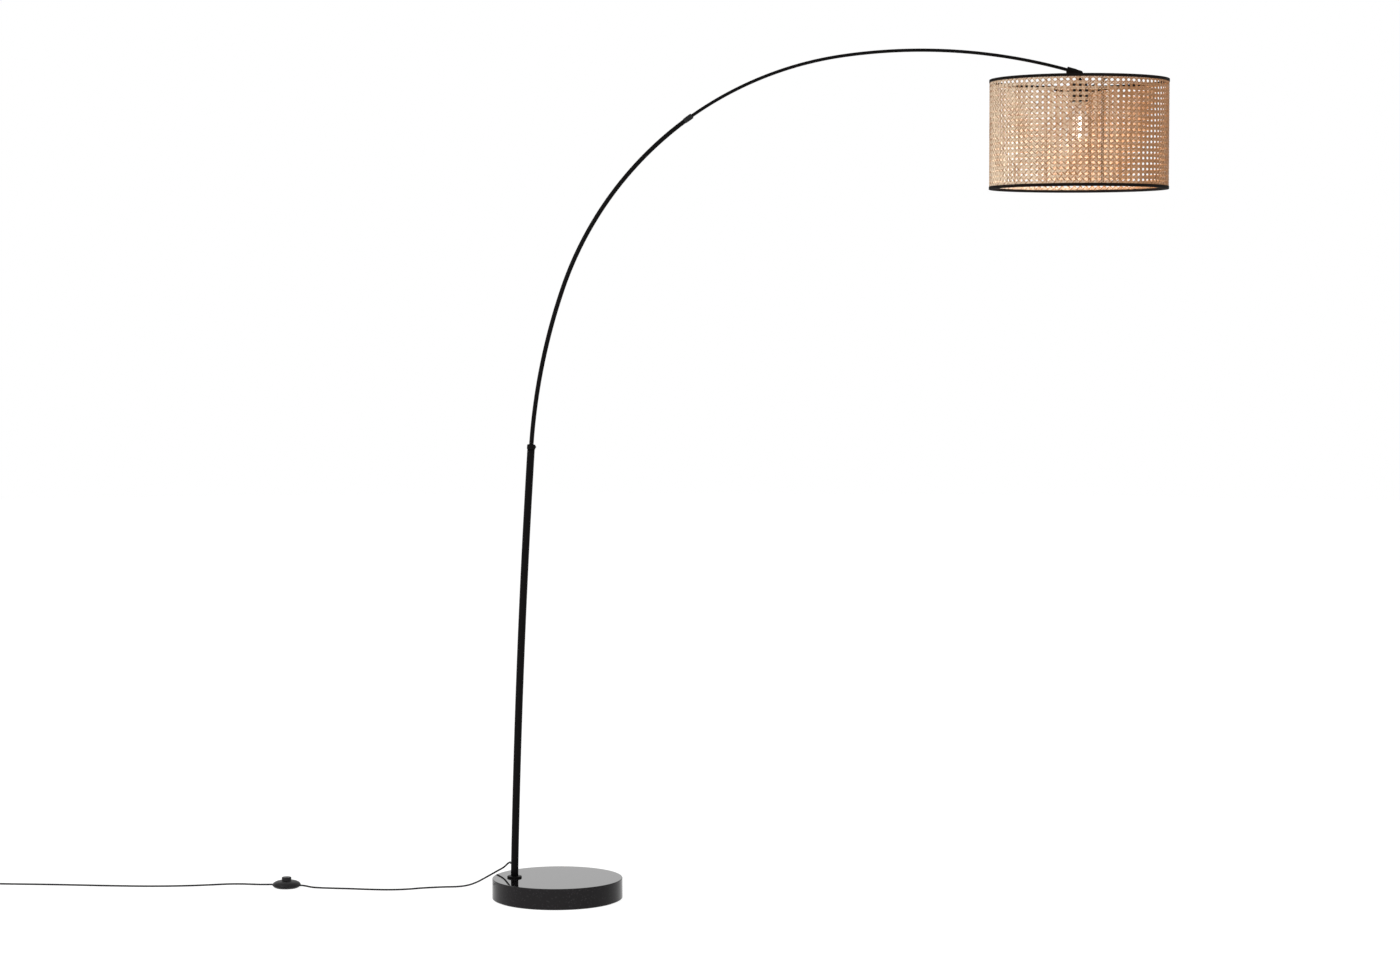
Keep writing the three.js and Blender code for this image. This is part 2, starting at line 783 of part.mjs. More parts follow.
function makeHolder() {
  const capRadius = holderCapDiameter / 2;
  const capTopRadius = holderCapTopDiameter / 2;
  const nippleHole = nippleDiameter / 2 + fitGap;
  const shoulder = Array.from({ length: shoulderSteps + 1 }, (_, i) => {
    const angle = (quarterTurn * i) / shoulderSteps;
    return [
      capTopRadius + (capRadius - capTopRadius) * Math.sin(angle),
      capTop - holderCapShoulder * (1 - Math.cos(angle)),
    ];
  });
  const inside = [...shoulder].reverse().map(
    ([radius, height]) => [radius - holderWall, height - holderWall],
  );
  const capProfile = [
    [nippleHole, capTop], ...shoulder, [capRadius, capBottom], [capRadius - holderWall, capBottom],
    ...inside, [nippleHole, capTop - holderWall],
  ];
  const boreRadius = holderBore / 2;
  const skirtRadius = holderSkirtDiameter / 2;
  const bodyProfile = [
    [boreRadius, bodyTop], [holderFlangeDiameter / 2, bodyTop],
    [holderFlangeDiameter / 2, flangeBottom], [skirtRadius, flangeBottom],
    [skirtRadius, skirtBottom], [boreRadius, skirtBottom],
  ];
  const nutBore = skirtRadius + fitGap;
  const nutRadius = shadeNutDiameter / 2;
  const nutBottom = nutTop - shadeNutHeight;
  const nutProfile = [
    [nutBore, nutTop], [nutRadius - shadeNutChamfer, nutTop], [nutRadius, nutTop - shadeNutChamfer],
    [nutRadius, nutBottom + shadeNutChamfer], [nutRadius - shadeNutChamfer, nutBottom],
    [nutBore, nutBottom],
  ];
  const insertRadius = capRadius - holderWall - fitGap;
  const insertTop = insertBottom + insertHeight;
  const shellRadius = lampShellDiameter / 2;
  const shellTop = insertBottom - fitGap;
  const shellProfile = [
    [shellRadius - lampShellWall, shellTop], [shellRadius, shellTop],
    [shellRadius, shellTop - lampShellLength], [shellRadius - lampShellWall, shellTop - lampShellLength],
  ];
  const contact = rod(contactDiameter / 2, contactTop - contactHeight, contactTop, smallSides);
  const holder = new THREE.Group();
  holder.add(
    piece('holder_cap', turned(capProfile, middleSides), blackPlastic),
    piece('holder_body', turned(bodyProfile, middleSides), blackPlastic),
    piece('shade_nut', turned(nutProfile, middleSides), blackPlastic),
    piece('holder_insert', rod(insertRadius, insertBottom, insertTop, middleSides), ceramic),
    piece('holder_shell', turned(shellProfile, middleSides), brass),
    piece('holder_contact', contact, brass),
  );
  return holder;
}

// The bulb's outline, from the neck's top to the bottom of the globe, offset inwards by a wall
function bulbOutline(wall) {
  const globeRadius = bulbDiameter / 2;
  const neckRadius = bulbNeckDiameter / 2;
  const bottom = lampCapBottom - bulbLength;
  const centre = bottom + globeRadius;
  const filletX = neckRadius + bulbFilletRadius;
  const lift = Math.sqrt((globeRadius + bulbFilletRadius) ** 2 - filletX ** 2);
  const meeting = Math.atan2(lift, filletX);
  const neckTop = lampCapBottom + bulbNeckOverlap;
  const filletRadius = bulbFilletRadius + wall;
  const filletEnd = Math.PI + meeting;
  const fillet = arcPoints(filletX, centre + lift, filletRadius, Math.PI, filletEnd, bulbNeckSteps);
  const globe = arcPoints(0, centre, globeRadius - wall, meeting, -quarterTurn, bulbGlobeSteps);
  return [[neckRadius - wall, neckTop], ...fillet, ...globe.slice(1, -1), [0, bottom + wall]];
}

function makeBulb() {
  const neckTop = lampCapBottom + bulbNeckOverlap;
  const glass = turned([...bulbOutline(0).reverse(), ...bulbOutline(bulbWall)], middleSides);
  const capRadius = lampCapDiameter / 2;
  const capProfile = [
    [0, lampCapTop], [lampTipDiameter / 2, lampCapTop], [capRadius, lampCapTop - lampTipHeight],
    [capRadius, lampCapBottom], [capRadius - lampCapWall, lampCapBottom],
    [capRadius - lampCapWall, lampCapTop - lampTipHeight - lampCapWall],
    [0, lampCapTop - 2 * lampCapWall],
  ];
  const tip = rod(lampTipDiameter / 2 - fitGap, lampCapTop + fitGap, lampTipTop, smallSides);
  const stemTopHeight = neckTop - bulbStemFlangeHeight;
  const stemProfile = [
    [0, neckTop], [bulbStemFlange / 2, neckTop], [bulbStemFlange / 2, stemTopHeight],
    [bulbStemDiameter / 2, stemTopHeight - bulbStemDiameter / 2],
    [bulbStemTipDiameter / 2, neckTop - bulbStemLength], [0, neckTop - bulbStemLength],
  ];
  const cageTop = neckTop - bulbStemLength - fitGap;
  const hubRadius = filamentHubDiameter / 2;
  const cageBottom = cageTop - filamentLength;
  const filaments = Array.from({ length: filamentCount }, (_, i) => {
    const angle = (fullTurn * (i + 0.5)) / filamentCount;
    const [x, y] = [Math.cos(angle), Math.sin(angle)].map((share) => (share * filamentCircle) / 2);
    return rod(filamentDiameter / 2, cageBottom, cageTop, leadSides).translate(x, y, 0);
  });
  const cage = joined(
    rod(hubRadius, cageTop - filamentHubThickness, cageTop, smallSides),
    rod(hubRadius, cageBottom, cageBottom + filamentHubThickness, smallSides),
    ...filaments,
  );
  const bulb = new THREE.Group();
  bulb.add(
    piece('lamp_cap', turned(capProfile, middleSides), steel),
    piece('lamp_tip', tip, brass),
    piece('bulb_glass', glass, clearGlass),
    piece('bulb_stem', turned(stemProfile, smallSides), clearGlass),
    piece('bulb_filaments', cage, amber),
  );
  return bulb;
}

const rimTop = -shadeDrop;
const rimBottom = rimTop - shadeHeight;
const tapeRadius = shadeDiameter / 2;
const caneRadius = tapeRadius - tapeThickness - fitGap;
const ringRadius = caneRadius - caneThickness - fitGap - ringWireDiameter / 2;
const ringInset = tapeThickness + fitGap + ringWireDiameter / 2;

// Tape folded over one edge of the shade: a band outside and a web across the edge
function edgeTape(edge, inward) {
  const webInner = ringRadius - ringWireDiameter / 2;
  return turned([
    [tapeRadius, edge],
    [tapeRadius, edge + inward * tapeWidth],
    [tapeRadius - tapeThickness, edge + inward * tapeWidth],
    [tapeRadius - tapeThickness, edge + inward * tapeThickness],
    [webInner, edge + inward * tapeThickness],
    [webInner, edge],
  ], shadeSides);
}

// The webbing as a drum with a grid of openings, one in every second facet of each row.
// One bar right through the drum cuts two openings, so the bars turn through half a circle.
function makeOpenDrum(innerRadius, outerRadius, bottom, top) {
  const wall = turned([
    [innerRadius, bottom], [outerRadius, bottom], [outerRadius, top], [innerRadius, top],
  ], shadeSides);
  const facetAngle = fullTurn / shadeSides;
  const rowPitch = (top - bottom) / caneRows;
  const halfWidth = (caneOpeningWidthShare * facetAngle * outerRadius) / 2;
  const halfHeight = (caneOpeningHeightShare * rowPitch) / 2;
  const reach = outerRadius + cutOverrun;
  const bars = [];
  for (let row = 0; row < caneRows; row += 1) {
    const middle = bottom + (row + 0.5) * rowPitch;
    for (let angle = facetAngle / 2; angle < Math.PI; angle += 2 * facetAngle) {
      bars.push(block(
        [-reach, -halfWidth, middle - halfHeight], [reach, halfWidth, middle + halfHeight],
      ).rotateZ(angle));
    }
  }
  return cut(wall, ...bars);
}

function makeShade() {
  const wireRadius = ringWireDiameter / 2;
  const topWireHeight = rimTop - ringInset;
  const hubRadius = hubDiameter / 2;
  const hubMiddle = (hubTop + hubBottom) / 2;
  const topRing = new THREE.TorusGeometry(ringRadius, wireRadius, wireSides, shadeSides);
  const bottomRing = topRing.clone().translate(0, 0, rimBottom + ringInset);
  const hubMiddleRadius = (hubRadius + hubBore / 2) / 2;
  const spokeStart = new THREE.Vector3(hubMiddleRadius, 0, hubMiddle);
  const spokeEnd = new THREE.Vector3(ringRadius, 0, topWireHeight);
  const spokes = Array.from({ length: spokeCount }, (_, i) => swept(
    new THREE.LineCurve3(spokeStart, spokeEnd), spokeDiameter / 2, 0, wireSides, 1,
  ).rotateZ(spokeTurn + (fullTurn * i) / spokeCount));
  const hub = turned([
    [hubBore / 2, hubBottom], [hubRadius, hubBottom], [hubRadius, hubTop], [hubBore / 2, hubTop],
  ], largeSides);
  const hubHole = rod(hubBore / 2, hubBottom - cutOverrun, hubTop + cutOverrun, largeSides);
  const frame = cut(joined(topRing.translate(0, 0, topWireHeight), hub, ...spokes), hubHole);
  const caneTop = rimTop - tapeThickness - fitGap;
  const caneBottom = rimBottom + tapeThickness + fitGap;
  const drum = makeOpenDrum(caneRadius - caneThickness, caneRadius, caneBottom, caneTop);
  const shade = new THREE.Group();
  shade.add(
    piece('shade_frame', frame, blackLacquer),
    piece('shade_bottom_ring', bottomRing, blackLacquer),
    piece('shade_cane', drum, cane),
    piece('shade_tape_top', edgeTape(rimTop, -1), blackTape),
    piece('shade_tape_bottom', edgeTape(rimBottom, 1), blackTape),
  );
  return shade;
}

function makeTiltingHead() {
  const end = lineAt(armOuterEndAt);
  const head = new THREE.Group();
  head.position.set(
    end.x + pivotReach * Math.sin(end.heading), 0, end.z + pivotReach * Math.cos(end.heading),
  );
  head.add(makeSwivel(), makeHolder(), makeBulb(), makeShade());
  return head;
}

// A coil spring about +Z with its wire inside the given heights
class Helix extends THREE.Curve {
  constructor(radius, from, to, turns) {
    super();
    Object.assign(this, { radius, from, to, turns });
  }

  getPoint(share, target = new THREE.Vector3()) {
    const angle = fullTurn * this.turns * share;
    const height = this.from + (this.to - this.from) * share;
    return target.set(this.radius * Math.cos(angle), this.radius * Math.sin(angle), height);
  }
}

// A low domed foot switch. The cord passes through it along its own X axis.
function makeSwitch() {
  const radius = switchDiameter / 2;
  const footRadius = switchFootDiameter / 2;
  const buttonRadius = switchButtonDiameter / 2;
  const holeRadius = buttonRadius + fitGap;
  const domeTop = switchHeight - switchSplit;
  const dome = (wall) => Array.from({ length: domeSteps + 1 }, (_, i) => {
    const share = i / domeSteps;
    const reach = radius - wall - (radius - wall - holeRadius) * share;
    const rise = (domeTop - wall * share) * Math.sqrt(1 - (1 - share) ** 2);
    return [reach, switchSplit + fitGap / 2 + rise];
  });
  const cover = turned([...dome(0), ...dome(switchWall).reverse()], largeSides);
  const splitTop = switchSplit - fitGap / 2;
  const floorProfile = [
    [0, 0], [footRadius, 0], [(footRadius + radius) / 2, switchWall], [radius, splitTop],
    [radius - switchWall, splitTop], [footRadius, switchWall + fitGap], [0, switchWall],
  ];
  const cordHole = rod(cordRadius + fitGap, -radius - cutOverrun, radius + cutOverrun, cordSides)
    .rotateY(quarterTurn).translate(0, 0, switchSplit);
  const rimTopHeight = switchHeight - switchWall - fitGap;
  const rimBottomHeight = rimTopHeight - switchButtonRimHeight;
  const innerRadius = buttonRadius - switchButtonWall;
  const buttonEdge = arcPoints(
    buttonRadius - switchButtonEdge, switchButtonTop - switchButtonEdge, switchButtonEdge,
    quarterTurn, 0, cornerSteps,
  );
  const rimRadius = switchButtonRim / 2;
  const buttonProfile = [
    [0, switchButtonTop], ...buttonEdge,
    [buttonRadius, rimTopHeight], [rimRadius, rimTopHeight], [rimRadius, rimBottomHeight],
    [innerRadius, rimBottomHeight], [innerRadius, switchButtonTop - switchButtonWall],
    [0, switchButtonTop - switchButtonWall],
  ];
  const blockBottom = switchWall + fitGap;
  const blockTop = blockBottom + switchBlockHeight;
  const wireRadius = switchSpringWire / 2;
  const springPath = new Helix(
    switchSpringDiameter / 2, blockTop + wireRadius + fitGap,
    switchButtonTop - switchButtonWall - wireRadius - fitGap, switchSpringTurns,
  );
  const springSteps = switchSpringTurns * springStepsPerTurn;
  const mechanism = block(
    [-switchBlockLength / 2, -switchBlockWidth / 2, blockBottom],
    [switchBlockLength / 2, switchBlockWidth / 2, blockTop],
  );
  const group = new THREE.Group();
  group.position.set(switchX, switchY, 0);
  group.rotation.z = switchTurn;
  group.add(
    piece('switch_cover', cut(cover, cordHole), blackPlastic),
    piece('switch_base', cut(turned(floorProfile, largeSides), cordHole), blackPlastic),
    piece('switch_button', turned(buttonProfile, middleSides), blackPlastic),
    piece('switch_spring', swept(springPath, wireRadius, 0, leadSides, springSteps), steel),
    piece('switch_block', mechanism, nylon),
  );
  return group;
}

// A point in a turned frame on the floor, in the lamp's frame
function onFloor(x, y, turn, [alongX, alongY, height]) {
  return new THREE.Vector3(
    x + alongX * Math.cos(turn) - alongY * Math.sin(turn),
    y + alongX * Math.sin(turn) + alongY * Math.cos(turn),
    height,
  );
}

// The coil's turns spiral in on the floor layer, climb where the spiral reverses, and spiral out above
const coilPitch = cordDiameter + coilGap;
const coilTurns = 2 * coilTurnsPerLayer;
const coilLift = tieThickness + fitGap;
const coilY = coilEntryY + coilOuterRadius;
const coilFloorHeight = cordRadius + coilLift;

class Coil extends THREE.Curve {
  at(turns) {
    const angle = -quarterTurn - fullTurn * turns;
    const radius = coilOuterRadius - coilPitch * Math.min(turns, coilTurns - turns);
    const climb = (turns - coilTurnsPerLayer) / coilClimbTurns + 0.5;
    const share = THREE.MathUtils.smoothstep(climb, 0, 1);
    return new THREE.Vector3(
      coilX + radius * Math.cos(angle), coilY + radius * Math.sin(angle),
      coilFloorHeight + coilPitch * share,
    );
  }

  getPoint(share, target = new THREE.Vector3()) {
    const straight = cordDiameter / (fullTurn * coilOuterRadius);
    const turns = (coilTurns + 2 * straight) * share - straight;
    const held = THREE.MathUtils.clamp(turns, 0, coilTurns);
    const run = (turns - held) * fullTurn * coilOuterRadius;
    return target.copy(this.at(held)).add(new THREE.Vector3(-run, 0, 0));
  }
}

// Prints the least gap that the coil's tube keeps to its own other turns
function reportCoilGap() {
  const coil = new Coil();
  const samplesPerTurn = coilStepsPerTurn * coilSamplesPerStep;
  const count = coilTurns * samplesPerTurn;
  const points = Array.from({ length: count + 1 }, (_, i) => coil.at((coilTurns * i) / count));
  let least = Infinity;
  for (let i = 0; i <= count; i += 1) {
    for (let j = i + samplesPerTurn / 2; j <= count; j += 1) {
      least = Math.min(least, points[i].distanceTo(points[j]) - cordDiameter);
    }
  }
  console.log(`least gap between the coil's turns: ${least.toFixed(2)} mm`);
}

function cordRun(name, points, steps) {
  const path = new THREE.CatmullRomCurve3(points);
  console.log(`${name}: ${path.getLength().toFixed(0)} mm`);
  return piece(name, swept(path, cordRadius, 0, cordSides, steps), softBlack);
}

function makeCord() {
  const handPoints = (table) => table.map((point) => new THREE.Vector3(...point));
  const atSwitch = (side, distance) => onFloor(
    switchX, switchY, switchTurn, [side * distance, 0, switchSplit],
  );
  const radius = switchDiameter / 2;
  const toSwitch = [
    fromPoleAxis(reliefTipAt + fitGap),
    fromPoleAxis(reliefTipAt + cordDiameter),
    ...handPoints(cordToSwitchPoints),
    atSwitch(1, radius + cordDiameter), atSwitch(1, radius), atSwitch(1, cordEntry),
  ];
  const coilStart = new THREE.Vector3(coilX + cordDiameter + fitGap, coilEntryY, coilFloorHeight);
  const toCoil = [
    atSwitch(-1, cordEntry), atSwitch(-1, radius), atSwitch(-1, radius + cordDiameter),
    ...handPoints(cordToCoilPoints),
    coilStart.clone().add(new THREE.Vector3(cordDiameter, 0, 0)), coilStart,
  ];
  const tailStart = new THREE.Vector3(
    coilX - cordDiameter - fitGap, coilEntryY, coilFloorHeight + coilPitch,
  );
  const atPlug = (distance) => onFloor(plugX, plugY, plugTurn, [-distance, 0, plugThickness / 2]);
  const tail = [
    tailStart, tailStart.clone().add(new THREE.Vector3(-cordDiameter, 0, 0)),
    atPlug(4 * cordDiameter), atPlug(cordDiameter), atPlug(fitGap),
  ];
  const coilSteps = coilTurns * coilStepsPerTurn;
  reportCoilGap();
  console.log(`cord_coil: ${new Coil().getLength().toFixed(0)} mm`);
  const cord = new THREE.Group();
  cord.add(
    cordRun('cord_to_switch', toSwitch, cordToSwitchSteps),
    cordRun('cord_to_coil', toCoil, cordToCoilSteps),
    piece('cord_coil', swept(new Coil(), cordRadius, 0, coilSides, coilSteps), softBlack),
    cordRun('cord_tail', tail, cordTailSteps),
    makeTie(),
  );
  return cord;
}

// A strap round all the coil's turns on its left side
function makeTie() {
  const bow = coilOuterRadius - Math.sqrt(coilOuterRadius ** 2 - (tieWidth / 2) ** 2);
  const innermost = coilOuterRadius - coilPitch * (coilTurnsPerLayer - tieTurnShare);
  const inner = innermost - cordRadius - 2 * bow - fitGap;
  const outer = coilOuterRadius + cordRadius + fitGap;
  const top = coilFloorHeight + coilPitch + cordRadius + fitGap;
  const low = [-outer - tieThickness, -tieWidth / 2, 0];
  const high = [-inner + tieThickness, tieWidth / 2, top + tieThickness];
  const loop = cut(
    block(low, high),
    block([-outer, -tieWidth, tieThickness], [-inner, tieWidth, top]),
  );
  return piece('cord_tie', loop.translate(coilX, coilY, 0), blackTape);
}

// A flat two-pin plug that lies on the floor, with the cord at its own origin
function makePlug() {
  const middle = plugThickness / 2;
  const halves = [
    [plugEdge, plugTailWidth / 2],
    [plugLength * plugNeckShare, plugNeckWidth / 2],
    [plugLength * plugShoulderShare, plugFaceWidth / 2],
    [plugLength - plugEdge, plugFaceWidth / 2],
  ].map(([x, y]) => [x, y - plugEdge]);
  const mirrored = [...halves].reverse().map(([x, y]) => [x, -y]);
  const outline = new THREE.Shape([...halves, ...mirrored].map(([x, y]) => new THREE.Vector2(x, y)));
  const body = new THREE.ExtrudeGeometry(outline, {
    depth: plugThickness - 2 * plugEdge, bevelThickness: plugEdge, bevelSize: plugEdge, bevelSegments: 2,
  }).translate(0, 0, plugEdge);
  const pinRadius = pinDiameter / 2;
  const pinStart = plugLength + fitGap;
  const pinEnd = pinStart + pinLength;
  const pinProfile = [
    [0, pinStart], [pinRadius, pinStart], [pinRadius, pinEnd - pinChamfer],
    [pinRadius - pinChamfer, pinEnd], [0, pinEnd],
  ];
  const pins = [['left', -1], ['right', 1]].map(([side, sign]) => piece(
    `plug_pin_${side}`,
    turned(pinProfile, smallSides).rotateY(quarterTurn).translate(0, (sign * pinSpacing) / 2, middle),
    steel,
  ));
  const group = new THREE.Group();
  group.position.set(plugX, plugY, 0);
  group.rotation.z = plugTurn;
  group.add(piece('plug_body', body, blackPlastic), ...pins);
  return group;
}

const lamp = new THREE.Group();
lamp.add(
  makeBase(), makeFoot(), makePole(), makePoleTop(), makeSleeveArc(), makeReachCollar(),
  makeUpperArc(), makeLeads(), makeKnuckle(), makeTiltingHead(),
  makeSwitch(), makeCord(), makePlug(),
);

export default lamp;
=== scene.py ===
"""An arc floor lamp with a drum shade of woven cane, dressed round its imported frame.

Shapes are worked out in millimetres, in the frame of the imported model, and made metres last.
"""

import json
import math
import random

import bmesh
import bpy
from bpy.props import FloatProperty, FloatVectorProperty, IntProperty, PointerProperty
from mathutils import Matrix, Vector, noise

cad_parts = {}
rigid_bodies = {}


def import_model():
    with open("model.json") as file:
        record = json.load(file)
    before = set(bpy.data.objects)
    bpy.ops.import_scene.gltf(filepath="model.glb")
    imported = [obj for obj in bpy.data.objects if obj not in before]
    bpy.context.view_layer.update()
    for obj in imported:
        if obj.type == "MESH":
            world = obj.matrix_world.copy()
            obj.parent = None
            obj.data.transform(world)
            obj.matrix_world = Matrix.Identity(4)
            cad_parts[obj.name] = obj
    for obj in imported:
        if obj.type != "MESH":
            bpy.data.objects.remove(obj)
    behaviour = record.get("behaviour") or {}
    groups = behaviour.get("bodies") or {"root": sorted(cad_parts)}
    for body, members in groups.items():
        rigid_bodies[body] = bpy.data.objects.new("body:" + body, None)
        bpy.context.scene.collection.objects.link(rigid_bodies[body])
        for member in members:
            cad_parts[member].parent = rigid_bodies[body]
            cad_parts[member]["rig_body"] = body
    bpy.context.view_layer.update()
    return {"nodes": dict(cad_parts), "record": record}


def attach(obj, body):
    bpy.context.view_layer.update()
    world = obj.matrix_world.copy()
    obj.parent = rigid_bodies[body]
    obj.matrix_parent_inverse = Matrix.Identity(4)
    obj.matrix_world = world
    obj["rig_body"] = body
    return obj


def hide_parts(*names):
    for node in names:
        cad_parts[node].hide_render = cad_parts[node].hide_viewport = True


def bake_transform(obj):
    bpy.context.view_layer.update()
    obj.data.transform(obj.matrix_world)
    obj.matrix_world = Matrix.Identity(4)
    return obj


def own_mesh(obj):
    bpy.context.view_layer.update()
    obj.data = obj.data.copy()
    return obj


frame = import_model()

bl_info = {
    "name": "Arc Floor Lamp",
    "version": (1, 0, 0),
    "blender": (4, 5, 0),
    "location": "View3D > Sidebar > Arc Lamp",
    "description": "Models an arc floor lamp with a woven cane drum shade",
    "category": "Object",
}

MM = 0.001
TURN = 2 * math.pi
QUARTER = math.pi / 2
SHARP_ANGLE = math.radians(32)
CARVED_ANGLE = math.radians(50)
MERGE_GAP = 1e-4
GAP = 0.3
OVERRUN = 1
FINER = "fine_"

# Facets round a turned piece, a tube or a wire, and along a rounded edge or corner
FINE = 128
LARGE = 64
MIDDLE = 48
SMALL = 32
WIRE = 16
THIN_WIRE = 8
HEXAGON = 6
EDGE_STEPS = 6
CORNER_STEPS = 4

# Base
BASE_RADIUS = 147
BASE_HEIGHT = 48
FELT_THICKNESS = 2
FOOT_OFFSET = 97
FOOT_LEAN = math.radians(1.13)
ROSETTE_HEIGHT = 4

# Tubes, which start and end at distances along the lamp's centre line
POLE_RADIUS = 8.5
POLE_WALL = 1.5
POLE_LENGTH = 969
POLE_BEND = math.radians(2.48)
SLEEVE_RADIUS = 5.1
SLEEVE_WALL = 0.8
SLEEVE_FROM = 937
REACH_COLLAR_AT = 1818
ARM_RADIUS = 3.7
ARM_WALL = 1
ARM_FROM = 1578
ARM_TO = 2708
TUBE_STEP = 16

# The centre line as [length, radius] bends, from the foot to the arm's end
BENDS = [(POLE_LENGTH, POLE_LENGTH / POLE_BEND), (369, 1374), (854, 778), (516, 1236)]

# Knuckle
PIVOT_REACH = 16
PIVOT_RADIUS = 2.5
KNUCKLE_RADIUS = 7.2
KNUCKLE_HALF_WIDTH = 6.6
LEAD_BORE = 1.8

# Bulb and shade, all heights from the pivot
BULB_NECK_TOP = -60.7
BULB_BOTTOM = -145.1
GLOBE_RADIUS = 30
RIM_TOP = -14.2
RIM_BOTTOM = -258.2
TAPE_RADIUS = 200
TAPE_THICKNESS = 0.7
RING_RADIUS = 195.1
RING_WIRE = 2
WEB_RADIUS = 198.2
WEB_BOTTOM = -256.06
WEB_HEIGHT = 239.8
WEB_FIRST_PAIR = 6.5
WEAVE_TURN = math.radians(2)

# A strand lies flat at these shares of the way from one crossing to the next
FLAT_SHARES = (0.35, 0.65)

# Seeds of the draws of the strands' shades
UPRIGHT_SEED = 11
HOOP_SEED = 100
RISING_SEED = 7
FALLING_SEED = 8

# Shades of the strands as (middle, spread), and the darker uprights at the seam as (angle, shade)
UPRIGHT_SHADES = (0.5, 1.3)
HOOP_SHADES = (0.55, 0.35)
# The slants are drawn darker than the rest, many of them below 0, as painted shade for the shadows in the
# weave.
SLANT_SHADES = (-0.1, 0.8)
SEAM_COLUMNS = [(math.radians(-84), -0.8), (math.radians(-92), -0.35)]

# Strain relief, lead and cord
EXIT_HEIGHT = 28
EXIT_TURN = math.radians(108)
RELIEF_TIP_AT = 32.3
RELIEF_INNER_END = 4.4
LEAD_RADIUS = 1.2
LEAD_FOLD_FROM = 1238
LEAD_FOLD_TO = 1565
CORD_TO_SWITCH = [
    (-109.5, 40.5, 75.6), (-115.5, 50.5, 70.5), (-124.5, 56.5, 61.6), (-140.2, 58, 52.2),
    (-156, 61, 42.8), (-172.5, 79, 31), (-192, 104, 17.5), (-212, 122, 8), (-232, 132, 3.4),
    (-270, 132, 2.1), (-315, 120, 2.05), (-352, 104, 2.05), (-388, 98, 2.05),
    (-435, 102, 2.05), (-482, 111, 2.05), (-525, 117.5, 2.05), (-552, 122, 2.2),
    (-571, 126.4, 2.9), (-584, 128.9, 4.9),
]
CORD_TO_COIL = [
    (-675.5, 145, 5.6), (-692, 151, 4.5), (-712, 162, 3), (-737, 170.5, 2.15),
    (-770, 170, 2.05), (-805, 161, 2.05), (-860, 149, 2.05), (-940, 143, 2.05),
    (-1030, 148, 2.05), (-1120, 158, 2.05), (-1200, 166, 2.05), (-1270, 170, 2.2),
    (-1330, 171, 2.9), (-1350, 171, 3.1),
]

# Coil, tie, plug and foot switch
COIL_X = -1372
COIL_ENTRY_Y = 171
COIL_RADIUS = 30.5
COIL_PITCH = 4.6
COIL_LAYER_TURNS = 3
TIE_THICKNESS = 0.8
PLUG_PLACE = (-1425, 164, math.radians(186))
PLUG_LENGTH = 35
PLUG_THICKNESS = 13.6
SWITCH_PLACE = (-630, 137, math.radians(-10))
SWITCH_RADIUS = 32.8
SWITCH_HEIGHT = 16.4
SWITCH_WALL = 1.7
SWITCH_SPLIT = 6
SWITCH_CORD_AT = 29
BUTTON_RADIUS = 11
BLOCK_TOP = 5

# Camera and light, in metres
CAMERA_PLACE = (0.322, -7.088, 1.321)
CAMERA_PITCH = math.radians(86.98)
SENSOR_WIDTH = 36
LENS = 81.33
SHADE_MIDDLE = (1.168, 0, 1.719)
LAMP_MIDDLE = (0.7, 0, 1.2)
FLOOR_RADIUS = 16


def colour_setting(name, description, default):
    return FloatVectorProperty(
        name=name, description=description, default=default, size=3, min=0, max=1, subtype="COLOR",
    )


def length_setting(name, description, default):
    return FloatProperty(
        name=name, description=description, default=default, min=0, soft_max=1,
        subtype="DISTANCE", unit="LENGTH",
    )


def power_setting(name, description, default, top=4000):
    return FloatProperty(
        name=name, description=description, default=default, min=0, max=top,
        subtype="POWER", unit="POWER",
    )


def strength_setting(name, description, default, top, subtype="NONE"):
    return FloatProperty(
        name=name, description=description, default=default, min=0, max=top, subtype=subtype,
    )


def share_setting(name, description, default):
    return strength_setting(name, description, default, 1, "FACTOR")


def count_setting(name, description, default, low, top):
    return IntProperty(name=name, description=description, default=default, min=low, max=top)


class ArcLampColours(bpy.types.PropertyGroup):
    """Colours of the lamp's finishes."""

    lacquer: colour_setting("Lacquer", "Black lacquer on the tubes", (0.0035, 0.0032, 0.0033))
    stone: colour_setting("Stone", "Polished base", (0.0075, 0.0066, 0.0072))
    stone_fleck: colour_setting("Stone Fleck", "Flecks in the base", (0.030, 0.028, 0.029))
    felt: colour_setting("Felt", "Felt under the base", (0.020, 0.020, 0.020))
    rubber: colour_setting("Soft Black", "Relief, collar and cord", (0.012, 0.012, 0.0125))
    plastic: colour_setting("Plastic", "Holder, switch and plug", (0.011, 0.0105, 0.011))
    cane_light: colour_setting("Light Cane", "Palest strands", (0.76, 0.638, 0.483))
    cane_dark: colour_setting("Dark Cane", "Darkest strands", (0.37, 0.188, 0.090))
    tape: colour_setting("Tape", "Edge tape", (0.0045, 0.0036, 0.0033))
    nylon: colour_setting("Nylon", "Washers and bushes", (0.62, 0.59, 0.52))
    porcelain: colour_setting("Porcelain", "Holder insert", (0.72, 0.68, 0.60))
    brass: colour_setting("Brass", "Contacts", (0.60, 0.42, 0.17))
    steel: colour_setting("Steel", "Screws and washers", (0.42, 0.42, 0.41))
    nickel: colour_setting("Nickel", "Lamp cap and plug pins", (0.60, 0.58, 0.54))
    glow: colour_setting("Filament Glow", "Light of the filaments", (1.0, 0.98, 0.95))


